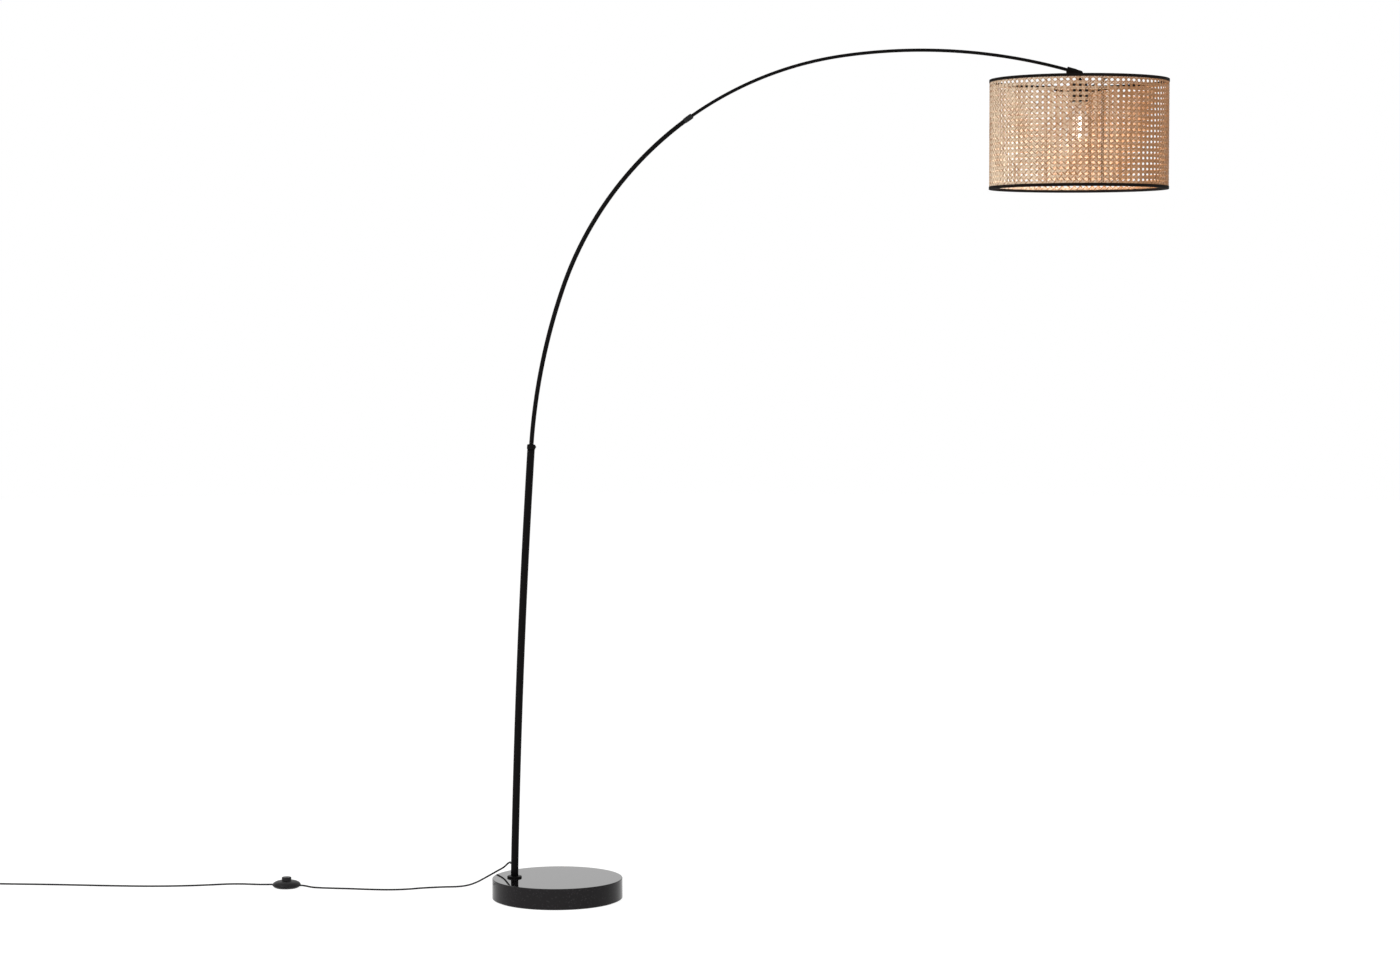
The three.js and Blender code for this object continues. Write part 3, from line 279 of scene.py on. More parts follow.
class ArcLampSizes(bpy.types.PropertyGroup):
    """Sizes of the webbing, the cord and the softened edges."""

    columns: count_setting("Columns", "Pairs of uprights round the shade", 90, 24, 160)
    rows: count_setting("Rows", "Pairs of hoops up the shade", 20, 4, 40)
    row_pitch: length_setting("Row Pitch", "Height of one cell of the webbing", 0.012)
    strand_width: length_setting("Strand Width", "Width of uprights and hoops", 0.0028)
    diagonal_width: length_setting("Diagonal Width", "Width of the slanting strands", 0.0024)
    strand_thickness: length_setting("Strand Thickness", "Thickness of a strand", 0.0007)
    pair_spacing: length_setting("Pair Spacing", "Distance between a pair's two strands", 0.0034)
    cord_diameter: length_setting("Cord Diameter", "Diameter of the mains cord", 0.004)
    edge_softness: length_setting("Edge Softness", "Rounding of moulded edges", 0.0004)


class ArcLampStage(bpy.types.PropertyGroup):
    """Light and floor."""

    sky: strength_setting("Room Light", "Strength of the even light", 0.38, 4)
    key: power_setting("Key Light", "Power of the large soft lamp", 95)
    low_fill: power_setting("Low Fill", "Power of the low lamp that shines up into the shade", 90)
    far_fill: power_setting("Far Fill", "Power of the lamp on the shade's far side", 62)
    floor_tone: share_setting("Floor Tone", "How pale the floor is", 0.40)
    floor_lift: share_setting("Floor Lift", "White that the floor adds for the camera", 0.88)
    floor_bounce: share_setting("Floor Bounce", "Light that the floor throws back up", 0.35)
    glow: strength_setting("Filament Strength", "Brightness of the filaments themselves", 15, 100)
    bulb_light: power_setting("Bulb Light", "Power of the light inside the shade", 2.8, 100)


def in_mm(length):
    return length / MM


def shares(steps):
    """Even shares of the way from 0 to 1."""
    return [i / steps for i in range(steps + 1)]


def held(value):
    """A value held between 0 and 1."""
    return min(1, max(0, value))


def colours():
    return bpy.context.scene.arc_lamp_colours


def sizes():
    return bpy.context.scene.arc_lamp_sizes


def stage_settings():
    return bpy.context.scene.arc_lamp_stage


# Places on the lamp


def raised(height):
    return Matrix.Translation((0, 0, height))


def on_floor(x, y, turn):
    return Matrix.Translation((x, y, 0)) @ Matrix.Rotation(turn, 4, "Z")


def bend_starts():
    """Each bend as its start distance, length, radius, heading and centre."""
    x, z, heading, distance = -FOOT_OFFSET, BASE_HEIGHT, FOOT_LEAN, 0
    starts = []
    for length, radius in BENDS:
        centre = Vector((x + radius * math.cos(heading), 0, z - radius * math.sin(heading)))
        starts.append((distance, length, radius, heading, centre))
        heading += length / radius
        x = centre.x - radius * math.cos(heading)
        z = centre.z + radius * math.sin(heading)
        distance += length
    return starts


BEND_STARTS = bend_starts()


def on_line(distance):
    """The place on the centre line whose +Z runs along it, at a distance from the foot."""
    start, _, radius, heading, centre = next(
        bend for bend in reversed(BEND_STARTS) if distance >= bend[0] or bend[0] == 0
    )
    heading += (distance - start) / radius
    point = (centre.x - radius * math.cos(heading), 0, centre.z + radius * math.sin(heading))
    return Matrix.Translation(point) @ Matrix.Rotation(heading, 4, "Y")


ACROSS = Matrix.Rotation(-QUARTER, 4, "X")
ALONG_X = Matrix.Rotation(QUARTER, 4, "Y")
FOOT = Matrix.Translation((-FOOT_OFFSET, 0, BASE_HEIGHT))
KNUCKLE = on_line(ARM_TO)
PIVOT = KNUCKLE @ raised(PIVOT_REACH)
HEAD = Matrix.Translation(PIVOT.translation)
EXIT = (
    Matrix.Translation(on_line(EXIT_HEIGHT).translation) @ Matrix.Rotation(EXIT_TURN, 4, "Z") @ ALONG_X
)
SWITCH = on_floor(*SWITCH_PLACE)
PLUG = on_floor(*PLUG_PLACE)


# Shapes


def linked(name, data, place=(0, 0, 0), turn=(0, 0, 0)):
    """A new object in the scene."""
    made = bpy.data.objects.new(name, data)
    made.location, made.rotation_euler = place, turn
    bpy.context.scene.collection.objects.link(made)
    return made


def as_mesh(name, bm):
    """A shape as a mesh. The shape is used up."""
    mesh = bpy.data.meshes.new(name)
    bm.to_mesh(mesh)
    bm.free()
    return mesh


def everything(bm):
    return bm.verts[:] + bm.edges[:] + bm.faces[:]


def only_verts(geom):
    return [item for item in geom if isinstance(item, bmesh.types.BMVert)]


def tidy(bm):
    bmesh.ops.remove_doubles(bm, verts=bm.verts, dist=MERGE_GAP)
    bmesh.ops.recalc_face_normals(bm, faces=bm.faces)
    return bm


def moved(bm, matrix):
    bmesh.ops.transform(bm, matrix=matrix, verts=bm.verts)
    return bm


def spun(bm, angle, steps, **how):
    """A shape spun about +Z."""
    bmesh.ops.spin(
        bm, geom=everything(bm), cent=(0, 0, 0), axis=(0, 0, 1), angle=angle, steps=steps, **how,
    )
    return bm


def copies(bm, count):
    """A shape repeated evenly about +Z."""
    return spun(bm, TURN * (count - 1) / count, count - 1, use_duplicate=True)


def chain(bm, points, closed=False):
    """A wire through points, as its vertices."""
    verts = [bm.verts.new(point) for point in points]
    for pair in zip(verts, verts[1:] + verts[:1] if closed else verts[1:]):
        bm.edges.new(pair)
    return verts


def turned(profile, sides=MIDDLE):
    """[radius, height] points turned about +Z. A profile off the axis is closed on itself."""
    bm = bmesh.new()
    chain(bm, [(radius, 0, height) for radius, height in profile], profile[0][0] > 0)
    return tidy(spun(bm, TURN, sides, use_merge=True))


def stepped(*values):
    """Points of a profile that runs across and up by turns, from radius, height, radius and so on."""
    return [(b, a) if i % 2 else (a, b) for i, (a, b) in enumerate(zip(values, values[1:]))]


def arc(radius, height, bend, start, end, steps):
    """Points of a profile along an arc about [radius, height]."""
    angles = [start + (end - start) * share for share in shares(steps)]
    return [(radius + bend * math.cos(a), height + bend * math.sin(a)) for a in angles]


def softness():
    return in_mm(sizes().edge_softness)


def bevelled(bm, geom, width, affect, segments):
    bmesh.ops.bevel(
        bm, geom=geom, offset=width, offset_type="OFFSET", segments=segments, profile=0.5,
        affect=affect, clamp_overlap=affect == "EDGES", material=-1,
    )


def softened(bm, width=None, angle=SHARP_ANGLE, segments=2):
    """Rounds the edges that fold by more than an angle."""
    folds = [e for e in bm.edges if len(e.link_faces) == 2 and e.calc_face_angle(0) > angle]
    bevelled(bm, folds, softness() if width is None else width, "EDGES", segments)
    return tidy(bm)


def rod(radius, low, high, sides=SMALL, place=Matrix()):
    bm = bmesh.new()
    bmesh.ops.create_cone(
        bm, cap_ends=True, segments=sides, radius1=radius, radius2=radius, depth=high - low,
        matrix=place @ raised((low + high) / 2),
    )
    return bm


def block(half_length, half_width, low, high):
    bm = bmesh.new()
    size = Matrix.Diagonal((2 * half_length, 2 * half_width, high - low, 1))
    bmesh.ops.create_cube(bm, size=1, matrix=raised((low + high) / 2) @ size)
    return bm


def bent_tube(start, end, radius, sides):
    """A skin round the centre line, made by spinning a circle about each bend's centre."""
    bm = bmesh.new()
    bmesh.ops.create_circle(bm, radius=radius, segments=sides, matrix=on_line(start))
    ring = everything(bm)
    for distance, length, bend_radius, _, centre in BEND_STARTS:
        run = min(end, distance + length) - max(start, distance)
        if run > 0:
            ring = bmesh.ops.spin(
                bm, geom=ring, cent=centre, axis=(0, 1, 0), angle=run / bend_radius,
                steps=math.ceil(run / TUBE_STEP),
            )["geom_last"]
    return bm


def hoop(radius, height, wire_radius, steps=FINE, sides=WIRE):
    """A ring of round wire about +Z."""
    bm = bmesh.new()
    place = Matrix.Translation((radius, 0, height)) @ Matrix.Rotation(QUARTER, 4, "X")
    bmesh.ops.create_circle(bm, radius=wire_radius, segments=sides, matrix=place)
    return tidy(spun(bm, TURN, steps, use_merge=True))


def between(start, end, radius, sides=WIRE):
    """A round bar from one point to another."""
    run = Vector(end) - Vector(start)
    place = Matrix.Translation(start) @ run.to_track_quat("Z", "Y").to_matrix().to_4x4()
    return rod(radius, 0, run.length, sides, place)


def smooth_wire(name, points, radius):
    """A curve object: a round wire on a smooth line through points."""
    curve = bpy.data.curves.new(name, "CURVE")
    curve.dimensions = "3D"
    curve.resolution_u = 5
    curve.bevel_depth = radius
    curve.bevel_resolution = 4
    curve.use_fill_caps = True
    spline = curve.splines.new("BEZIER")
    spline.bezier_points.add(len(points) - 1)
    for knot, point in zip(spline.bezier_points, points):
        knot.co = point
        knot.handle_left_type = knot.handle_right_type = "AUTO"
    return linked(name, curve)


def swept(points, radius):
    """A closed round rod on a smooth line through points."""
    wire = smooth_wire("path", points, radius)
    bpy.context.view_layer.update()
    mesh = bpy.data.meshes.new_from_object(wire)
    bm = bmesh.new()
    bm.from_mesh(mesh)
    bpy.data.meshes.remove(mesh)
    bpy.data.curves.remove(wire.data)
    return tidy(bm)


def carved(body, *tools, operation="DIFFERENCE"):
    """A shape with others cut from it, or joined to it. All of them are used up."""
    for tool in tools:
        carvings = [linked("carving", as_mesh("carving", shape)) for shape in (body, tool)]
        cut = carvings[0].modifiers.new("cut", "BOOLEAN")
        cut.operation = operation
        cut.solver = "EXACT"
        cut.object = carvings[1]
        body = bmesh.new()
        body.from_object(carvings[0], bpy.context.evaluated_depsgraph_get())
        for mesh in [carving.data for carving in carvings]:
            bpy.data.meshes.remove(mesh)
    return tidy(body)


def together(*shapes):
    """Several shapes in one, each still closed on its own."""
    whole = bmesh.new()
    for shape in shapes:
        mesh = as_mesh("part", shape)
        whole.from_mesh(mesh)
        bpy.data.meshes.remove(mesh)
    return whole


def gripped(bm, low, high, depth):
    """Sinks every second upright face of a turned piece between two heights, for a grip."""
    for height in (low, high):
        bmesh.ops.bisect_plane(bm, geom=everything(bm), plane_co=(0, 0, height), plane_no=(0, 0, 1))
    bm.normal_update()
    sides, facing_out = [], 0.9
    for face in bm.faces:
        middle = face.calc_center_median()
        outward = Vector((middle.x, middle.y, 0)).normalized()
        if low < middle.z < high and face.normal.dot(outward) > facing_out:
            sides.append((math.atan2(middle.y, middle.x), face))
    sides.sort(key=lambda side: side[0])
    sunk = [face for _, face in sides[::2]]
    bmesh.ops.inset_individual(bm, faces=sunk, thickness=depth / 2, depth=-depth)
    return bm


# Materials


class Tree:
    """Adds nodes to a node tree. An input that is a socket is linked, and a value is set."""

    def __init__(self, tree):
        self.tree = tree
        self.column = 0

    def add(self, kind, inputs=None, **settings):
        node = self.tree.nodes.new("ShaderNode" + kind)
        self.column += 180
        node.location = (self.column, 0)
        for key, value in settings.items():
            setattr(node, key, value)
        for key, value in (inputs or {}).items():
            if isinstance(value, bpy.types.NodeSocket):
                self.tree.links.new(value, node.inputs[key])
            else:
                node.inputs[key].default_value = value
        return node

    def send(self, sink, **values):
        for socket, value in values.items():
            self.tree.links.new(value, sink[socket])

    def maths(self, operation, first, second=0.5):
        return self.add("Math", {0: first, 1: second}, operation=operation).outputs[0]

    def noise(self, place, scale, detail, roughness=0.5):
        inputs = {"Vector": place, "Scale": scale, "Detail": detail, "Roughness": roughness}
        return self.add("TexNoise", inputs).outputs[0]

    def ramp(self, value, start, end, low=0.0, high=1.0):
        return self.add("MapRange", {"Value": value, 1: start, 2: end, 3: low, 4: high}).outputs[0]

    def toned(self, colour, gain):
        """A colour made paler or darker."""
        return self.add("HueSaturation", {"Value": gain, "Color": colour}).outputs[0]

    def between(self, factor, first, second):
        """A value from one to the other by a factor."""
        return self.add("Mix", {0: factor, 2: first, 3: second}).outputs[0]

    def colour_between(self, factor, first, second):
        return self.add("Mix", {0: factor, 6: first, 7: second}, data_type="RGBA").outputs[2]

    def group(self, name, inputs):
        return self.add("Group", inputs, node_tree=bpy.data.node_groups[name]).outputs


def rgba(colour, gain=1.0):
    return (*[min(1.0, c * gain) for c in colour], 1.0)


def new_group(name, inputs, outputs):
    """A shader node group, as its tree, its inputs and its outputs.

    An input with no default is a vector, and one that has a colour or a number is of that kind.
    """
    made = bpy.data.node_groups.new(name, "ShaderNodeTree")
    kinds = {type(None): "NodeSocketVector", tuple: "NodeSocketColor", float: "NodeSocketFloat"}
    for socket, default in inputs.items():
        item = made.interface.new_socket(name=socket, in_out="INPUT", socket_type=kinds[type(default)])
        if default is not None:
            item.default_value = default
    for socket in outputs:
        kind = kinds[tuple if socket == "Colour" else float]
        made.interface.new_socket(name=socket, in_out="OUTPUT", socket_type=kind)
    source = made.nodes.new("NodeGroupInput")
    sink = made.nodes.new("NodeGroupOutput")
    return Tree(made), source.outputs, sink.inputs


def make_finish_group():
    """Handled lacquer and plastic: faint smudges in the gloss and a fine orange peel."""
    tree, given, out = new_group(
        "Handled Finish",
        {"Vector": None, "Colour": rgba([0.01] * 3), "Gloss": 0.25, "Smudge": 0.1, "Grain Scale": 900.0},
        ["Colour", "Roughness", "Height"],
    )
    smudge = tree.noise(given["Vector"], 14.0, 5.0, 0.6)
    swing = tree.maths("MULTIPLY", tree.maths("SUBTRACT", smudge), given["Smudge"])
    dust = tree.ramp(smudge, 0.45, 0.75, 0.0, 0.35)
    tree.send(
        out, Roughness=tree.maths("ADD", given["Gloss"], swing),
        Colour=tree.colour_between(dust, given["Colour"], tree.toned(given["Colour"], 1.7)),
        Height=tree.noise(given["Vector"], given["Grain Scale"], 2.0),
    )


def make_fibre_group():
    """Cane: streaks that run along a strand, each strand's own shade, and painted shade that darkens the
    strands towards +X, the side away from the key light.
    """
    tree, given, out = new_group(
        "Cane Fibre",
        {
            "Along": None, "Place": None, "Strand": 0.5, "Light": (0.8, 0.6, 0.4, 1),
            "Dark": (0.5, 0.3, 0.2, 1),
        },
        ["Colour", "Roughness", "Height"],
    )
    strand = given["Strand"]
    own = tree.add("CombineXYZ", {0: strand, 1: strand}).outputs[0]
    shifted = tree.add("VectorMath", {0: given["Along"], 1: own}, operation="ADD").outputs[0]
    stretched = tree.add("Mapping", {"Vector": shifted, "Scale": (26, 9, 1)}).outputs[0]
    streak = tree.noise(stretched, 2.2, 4.0)
    patch = tree.maths("SUBTRACT", tree.noise(given["Place"], 19.0, 3.0, 0.6))
    side = tree.add("SeparateXYZ", {0: given["Place"]}).outputs[0]
    middle, reach = HEAD.translation.x * MM, TAPE_RADIUS * MM
    shade = tree.maths("ADD", tree.maths("MULTIPLY", strand, 0.42), tree.maths("MULTIPLY", streak, 0.42))
    shade = tree.maths("ADD", shade, tree.maths("MULTIPLY", patch, 0.5))
    # Painted shade: the strands get paler towards -X and darker and browner towards +X, the side of the
    # shade turned from the key light.
    shade = tree.maths("ADD", shade, tree.ramp(side, middle - reach, middle + reach, 0.16, -0.42))
    plain = tree.colour_between(tree.ramp(shade, 0.1, 0.75), given["Dark"], given["Light"])
    # A shade below 0 mixes in a darker brown: painted shade on the slanting strands, and the darker uprights
    # at the seam.
    painted_shade_and_seam_colour = tree.toned(given["Dark"], 0.25)
    tree.send(
        out, Colour=tree.colour_between(tree.ramp(strand, 0.0, -1.0), plain, painted_shade_and_seam_colour),
        Roughness=tree.between(streak, 0.62, 0.40), Height=streak,
    )


def make_weave_group():
    """Cloth: two sets of fine threads that cross, and the height of the weave."""
    tree, given, out = new_group(
        "Fine Weave",
        {"Vector": None, "Threads": 900.0, "Colour": rgba([0.02] * 3)}, ["Colour", "Height"],
    )
    thread = {
        "Vector": given["Vector"], "Scale": given["Threads"], "Distortion": 1.5, "Detail": 1.0,
        "Detail Scale": 3.0,
    }
    sets = [tree.add("TexWave", thread, bands_direction=way).outputs[1] for way in ("Z", "DIAGONAL")]
    lint = tree.maths("MULTIPLY", tree.noise(given["Vector"], 260.0, 4.0), 0.5)
    height = tree.maths("ADD", tree.maths("MULTIPLY", *sets), lint)
    paler = tree.toned(given["Colour"], 2.4)
    tree.send(
        out, Colour=tree.colour_between(tree.maths("MULTIPLY", height, 0.5), given["Colour"], paler),
        Height=height,
    )


def cleared_tree(owner):
    owner.use_nodes = True
    owner.node_tree.nodes.clear()
    return Tree(owner.node_tree)


def new_material(name):
    """A material with its node tree and its place on the object."""
    material = bpy.data.materials.new(name)
    tree = cleared_tree(material)
    return material, tree, tree.add("TexCoord").outputs["Object"]


def surface(material, tree, bump=None, **shader):
    """Ends a material in one Principled shader, with a bump of (height, strength, distance)."""
    inputs = {key.replace("_", " ").title().replace("Ior", "IOR"): value for key, value in shader.items()}
    if bump:
        height, strength, distance = bump
        bump = tree.add("Bump", {"Height": height, "Strength": strength, "Distance": distance})
        inputs["Normal"] = bump.outputs[0]
    tree.add("OutputMaterial", {"Surface": tree.add("BsdfPrincipled", inputs).outputs[0]})
    return material


def handled(name, colour, gloss, smudge, grain, bump=0.08, **shader):
    material, tree, place = new_material(name)
    finish = tree.group("Handled Finish", {
        "Vector": place, "Colour": rgba(colour), "Gloss": gloss, "Smudge": smudge, "Grain Scale": grain,
    })
    return surface(
        material, tree, (finish["Height"], bump, 0.0001),
        base_color=finish["Colour"], roughness=finish["Roughness"], **shader,
    )


def stone_look(name, colour, fleck, polish, roughness):
    material, tree, place = new_material(name)
    crystals = tree.add("TexVoronoi", {"Vector": place, "Scale": 420.0}).outputs["Color"]
    grain = tree.add("SeparateColor", {"Color": crystals}).outputs[0]
    cloud = tree.noise(place, 9.0, 6.0)
    amount = tree.maths("MULTIPLY", tree.ramp(grain, 0.86, 1.0), cloud)
    marks = tree.noise(place, 26.0, 5.0)
    return surface(
        material, tree, (cloud, 0.02, 0.0002),
        base_color=tree.colour_between(amount, rgba(colour), rgba(fleck)),
        roughness=tree.between(marks, roughness * 0.4, roughness * 1.4), specular_ior_level=polish,
    )


def cloth_look(name, colour, threads, roughness, bump, shine):
    material, tree, place = new_material(name)
    weave = tree.group("Fine Weave", {"Vector": place, "Threads": threads, "Colour": rgba(colour)})
    return surface(
        material, tree, (weave["Height"], bump, 0.0003), base_color=weave["Colour"],
        roughness=roughness, specular_ior_level=shine,
    )


def cane_look(name, light, dark):
    material, tree, place = new_material(name)
    fibre = tree.group("Cane Fibre", {
        "Along": tree.add("UVMap", uv_map="fibre").outputs[0], "Place": place,
        "Strand": tree.add("Attribute", attribute_name="strand").outputs["Fac"],
        "Light": rgba(light), "Dark": rgba(dark),
    })
    return surface(
        material, tree, (fibre["Height"], 0.35, 0.0002), base_color=fibre["Colour"],
        roughness=fibre["Roughness"], specular_ior_level=0.10,
    )


def metal_look(name, colour, roughness, brushed):
    """Metal with fine lines round its own axis of turning, or along Z."""
    material, tree, place = new_material(name)
    stretched = tree.add("Mapping", {"Vector": place, "Scale": (90, 90, brushed)}).outputs[0]
    lines = tree.noise(stretched, 4.0, 5.0)
    tarnish = tree.noise(place, 60.0, 4.0)
    return surface(
        material, tree, (lines, 0.12, 0.0001),
        base_color=tree.colour_between(tarnish, rgba(colour, 0.78), rgba(colour, 1.12)),
        roughness=tree.between(lines, roughness * 0.75, roughness * 1.3), metallic=1.0,
    )


def glass_look(name):
    material, tree, place = new_material(name)
    ripple = tree.noise(place, 22.0, 2.0)
    return surface(
        material, tree, (ripple, 0.03, 0.0004), base_color=(1.0, 0.985, 0.96, 1.0),
        roughness=tree.between(ripple, 0.20, 0.34), transmission_weight=1.0, ior=1.45,
    )


def filament_look(name, colour, strength):
    material, tree, place = new_material(name)
    beads = tree.noise(place, 500.0, 1.0)
    return surface(
        material, tree, base_color=(0.9, 0.62, 0.25, 1.0), roughness=tree.between(beads, 0.4, 0.6),
        emission_color=tree.colour_between(beads, rgba(colour, 0.85), rgba(colour)),
        emission_strength=strength,
    )


LOOKS = {}


def make_looks():
    """Every finish of the lamp, by the name of its material slot in the record."""
    make_finish_group()
    make_fibre_group()
    make_weave_group()
    paint = colours()
    LOOKS.update({
        "lacquer": handled(
            "black_lacquer", paint.lacquer, 0.34, 0.16, 700.0, 0.05, specular_ior_level=0.035,
        ),
        "stone": stone_look("polished_stone", paint.stone, paint.stone_fleck, 0.62, 0.05),
        "honed_stone": stone_look("honed_stone", paint.stone, paint.stone_fleck, 0.125, 0.22),
        "felt": cloth_look("pressed_felt", paint.felt, 420.0, 0.95, 0.9, 0.3),
        "steel": metal_look("brushed_steel", paint.steel, 0.34, 900.0),
        "soft_black": handled(
            "soft_black", paint.rubber, 0.55, 0.2, 2600.0, 0.2, specular_ior_level=0.12,
        ),
        "black_plastic": handled(
            "black_plastic", paint.plastic, 0.42, 0.22, 1800.0, 0.16, specular_ior_level=0.13,
        ),
        "nylon": handled("nylon", paint.nylon, 0.45, 0.2, 1200.0),
        "cord_sheath": handled(
            "cord_sheath", paint.rubber, 0.5, 0.25, 1500.0, 0.12, specular_ior_level=0.12,
        ),
        "porcelain": handled("porcelain", paint.porcelain, 0.25, 0.15, 500.0),
        "brass": metal_look("brass", paint.brass, 0.3, 700.0),
        "lamp_cap": metal_look("nickel_cap", paint.nickel, 0.28, 900.0),
        "clear_glass": glass_look("clear_glass"),
        "filament": filament_look("lit_filament", paint.glow, stage_settings().glow),
        "cane": cane_look("woven_cane", paint.cane_light, paint.cane_dark),
        "tape": cloth_look("edge_tape", paint.tape, 1500.0, 0.85, 0.4, 0.06),
        "plug_pins": metal_look("plug_pins", paint.nickel, 0.24, 900.0),
    })


def body_of(node):
    return frame["nodes"][node]["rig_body"]


def made_piece(name, bm, slot, place=Matrix(), nodes=None, wall=0, rides=True):
    """Puts a shape in its place, in metres, as one piece in its finish.

    It stands for the CAD nodes that are given, or else for the node of its name. A piece that is
    named after its node is marked as the finer of the two.
    """
    nodes = nodes or [name]
    if name in frame["nodes"]:
        name = FINER + name
    moved(bm, Matrix.Scale(MM, 4) @ place)
    bmesh.ops.recalc_face_normals(bm, faces=bm.faces)
    mesh = as_mesh(name, bm)
    mesh.shade_smooth()
    mesh.set_sharp_from_angle(angle=SHARP_ANGLE)
    mesh.materials.append(LOOKS[slot])
    made = linked(name, mesh)
    if wall:
        thick = made.modifiers.new("wall", "SOLIDIFY")
        thick.thickness = wall * MM
        thick.offset = -1
        thick.use_even_offset = True
    if rides:
        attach(made, body_of(nodes[0]))
    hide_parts(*nodes)
    return made


def second_finish(made, slot, picks):
    """Gives a second finish to the faces of a piece that a test picks."""
    made.data.materials.append(LOOKS[slot])
    for face in made.data.polygons:
        face.material_index = int(picks(face))


# The stage: camera, floor and light


def seen_rays(tree):
    """1 for the rays of the camera, of gloss and of glass, and 0 for light that falls on things."""
    path = tree.add("LightPath").outputs
    seen = tree.maths("MAXIMUM", path["Is Camera Ray"], path["Is Glossy Ray"])
    return tree.maths("MAXIMUM", seen, path["Is Transmission Ray"])


class ARCLAMP_OT_stage(bpy.types.Operator):
    """Make the camera, the floor and the light"""

    bl_idname = "arclamp.stage"
    bl_label = "Make Stage"

    def execute(self, context):
        self.make_camera()
        self.make_world()
        self.make_floor()
        self.make_lamps()
        context.scene.view_settings.view_transform = "Standard"
        return {"FINISHED"}

    def make_camera(self):
        lens = bpy.data.cameras.new("camera")
        lens.lens = LENS
        lens.sensor_width = SENSOR_WIDTH
        bpy.context.scene.camera = linked("camera", lens, CAMERA_PLACE, (CAMERA_PITCH, 0, 0))

    def make_world(self):
        world = bpy.context.scene.world = bpy.data.worlds.new("studio")
        tree = cleared_tree(world)
        strength = tree.between(seen_rays(tree), stage_settings().sky, 1.0)
        light = tree.add("Background", {"Color": rgba([1] * 3), "Strength": strength})
        tree.add("OutputWorld", {"Surface": light.outputs[0]})

    def make_floor(self):
        chosen = stage_settings()
        bm = bmesh.new()
        bmesh.ops.create_circle(
            bm, cap_ends=True, radius=FLOOR_RADIUS, segments=LARGE, matrix=raised(-GAP * MM),
        )
        floor = linked("floor", as_mesh("floor", bm))
        material = bpy.data.materials.new("pale_floor")
        tree = cleared_tree(material)
        matt = tree.add("BsdfDiffuse", {"Color": rgba([chosen.floor_tone] * 3)}).outputs[0]
        strength = tree.between(seen_rays(tree), chosen.floor_bounce, chosen.floor_lift)
        white = tree.add("Emission", {"Color": rgba([1] * 3), "Strength": strength}).outputs[0]
        tree.add("OutputMaterial", {"Surface": tree.add("AddShader", {0: matt, 1: white}).outputs[0]})
        floor.data.materials.append(material)

    def make_lamps(self):
        """The soft lamps, whose fills show in no gloss, and the filaments' light in the shade."""
        chosen = stage_settings()
        for name, place, aim, size, power in (
            ("key", (-3.8, -3.6, 3.4), LAMP_MIDDLE, 2.4, chosen.key),
            ("low_fill", (-0.9, -2.2, 0.1), SHADE_MIDDLE, 1.2, chosen.low_fill),
            ("far_fill", (4.2, -2.2, 1.9), SHADE_MIDDLE, 1.6, chosen.far_fill),
        ):
            light = bpy.data.lights.new(name, "AREA")
            light.shape = "DISK"
            light.size = size
            light.energy = power
            turn = (Vector(aim) - Vector(place)).to_track_quat("-Z", "Y").to_euler()
            lamp = linked(name, light, place, turn)
            if "fill" in name:
                lamp.visible_glossy = False
                lamp.visible_camera = False
        drop, radius = 48, 12
        light = bpy.data.lights.new("bulb_light", "POINT")
        light.energy = chosen.bulb_light
        light.color = colours().glow
        light.shadow_soft_size = radius * MM
        place = HEAD @ Vector((0, 0, BULB_BOTTOM + GLOBE_RADIUS - drop)) * MM
        bulb = linked("bulb_light", light, place)
        bulb.visible_camera = False
        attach(bulb, body_of("bulb_glass"))


class ARCLAMP_OT_finishes(bpy.types.Operator):
    """Make every finish, and give it to the nodes that stay as they are"""

    bl_idname = "arclamp.finishes"
    bl_label = "Make Finishes"

    def execute(self, context):
        make_looks()
        for part in frame["record"]["subparts"]:
            shown = frame["nodes"][part["node"]].data
            shown.materials.clear()
            shown.materials.append(LOOKS[part["material_slot"]])
        return {"FINISHED"}


# The pieces


def coil_point(turn):
    """A point of the coil, which winds inwards, climbs half way and winds out again."""
    turns, climb_turns = 2 * COIL_LAYER_TURNS, 0.5
    radius = COIL_RADIUS - COIL_PITCH * min(turn, turns - turn)
    angle = -QUARTER - TURN * turn
    climbed = held((turn - COIL_LAYER_TURNS) / climb_turns + 0.5)
    return Vector((
        COIL_X + radius * math.cos(angle), COIL_ENTRY_Y + COIL_RADIUS + radius * math.sin(angle),
        COIL_PITCH * climbed * climbed * (3 - 2 * climbed),
    ))


def cord_points():
    """The cord's route in millimetres, from the strain relief through the switch to the plug."""
    diameter = in_mm(sizes().cord_diameter)
    in_switch = (SWITCH_RADIUS + diameter, SWITCH_RADIUS, SWITCH_CORD_AT)
    turns, points_per_turn = 2 * COIL_LAYER_TURNS, 24
    layer = Vector((0, 0, diameter / 2 + TIE_THICKNESS + GAP))
    beside = Vector((2 * diameter, 0, 0))
    coil = [coil_point(turns * share) + layer for share in shares(turns * points_per_turn)]
    return [
        *[EXIT @ Vector((0, 0, RELIEF_TIP_AT + past)) for past in (-diameter / 2, diameter)],
        *map(Vector, CORD_TO_SWITCH),
        *[SWITCH @ Vector((x, 0, SWITCH_SPLIT)) for x in in_switch],
        *[SWITCH @ Vector((-x, 0, SWITCH_SPLIT)) for x in reversed(in_switch)],
        *map(Vector, CORD_TO_COIL),
        coil[0] + beside, *coil, coil[-1] - beside,
        *[PLUG @ Vector((-x * diameter, 0, PLUG_THICKNESS / 2)) for x in (4, 1, -0.5)],
    ]


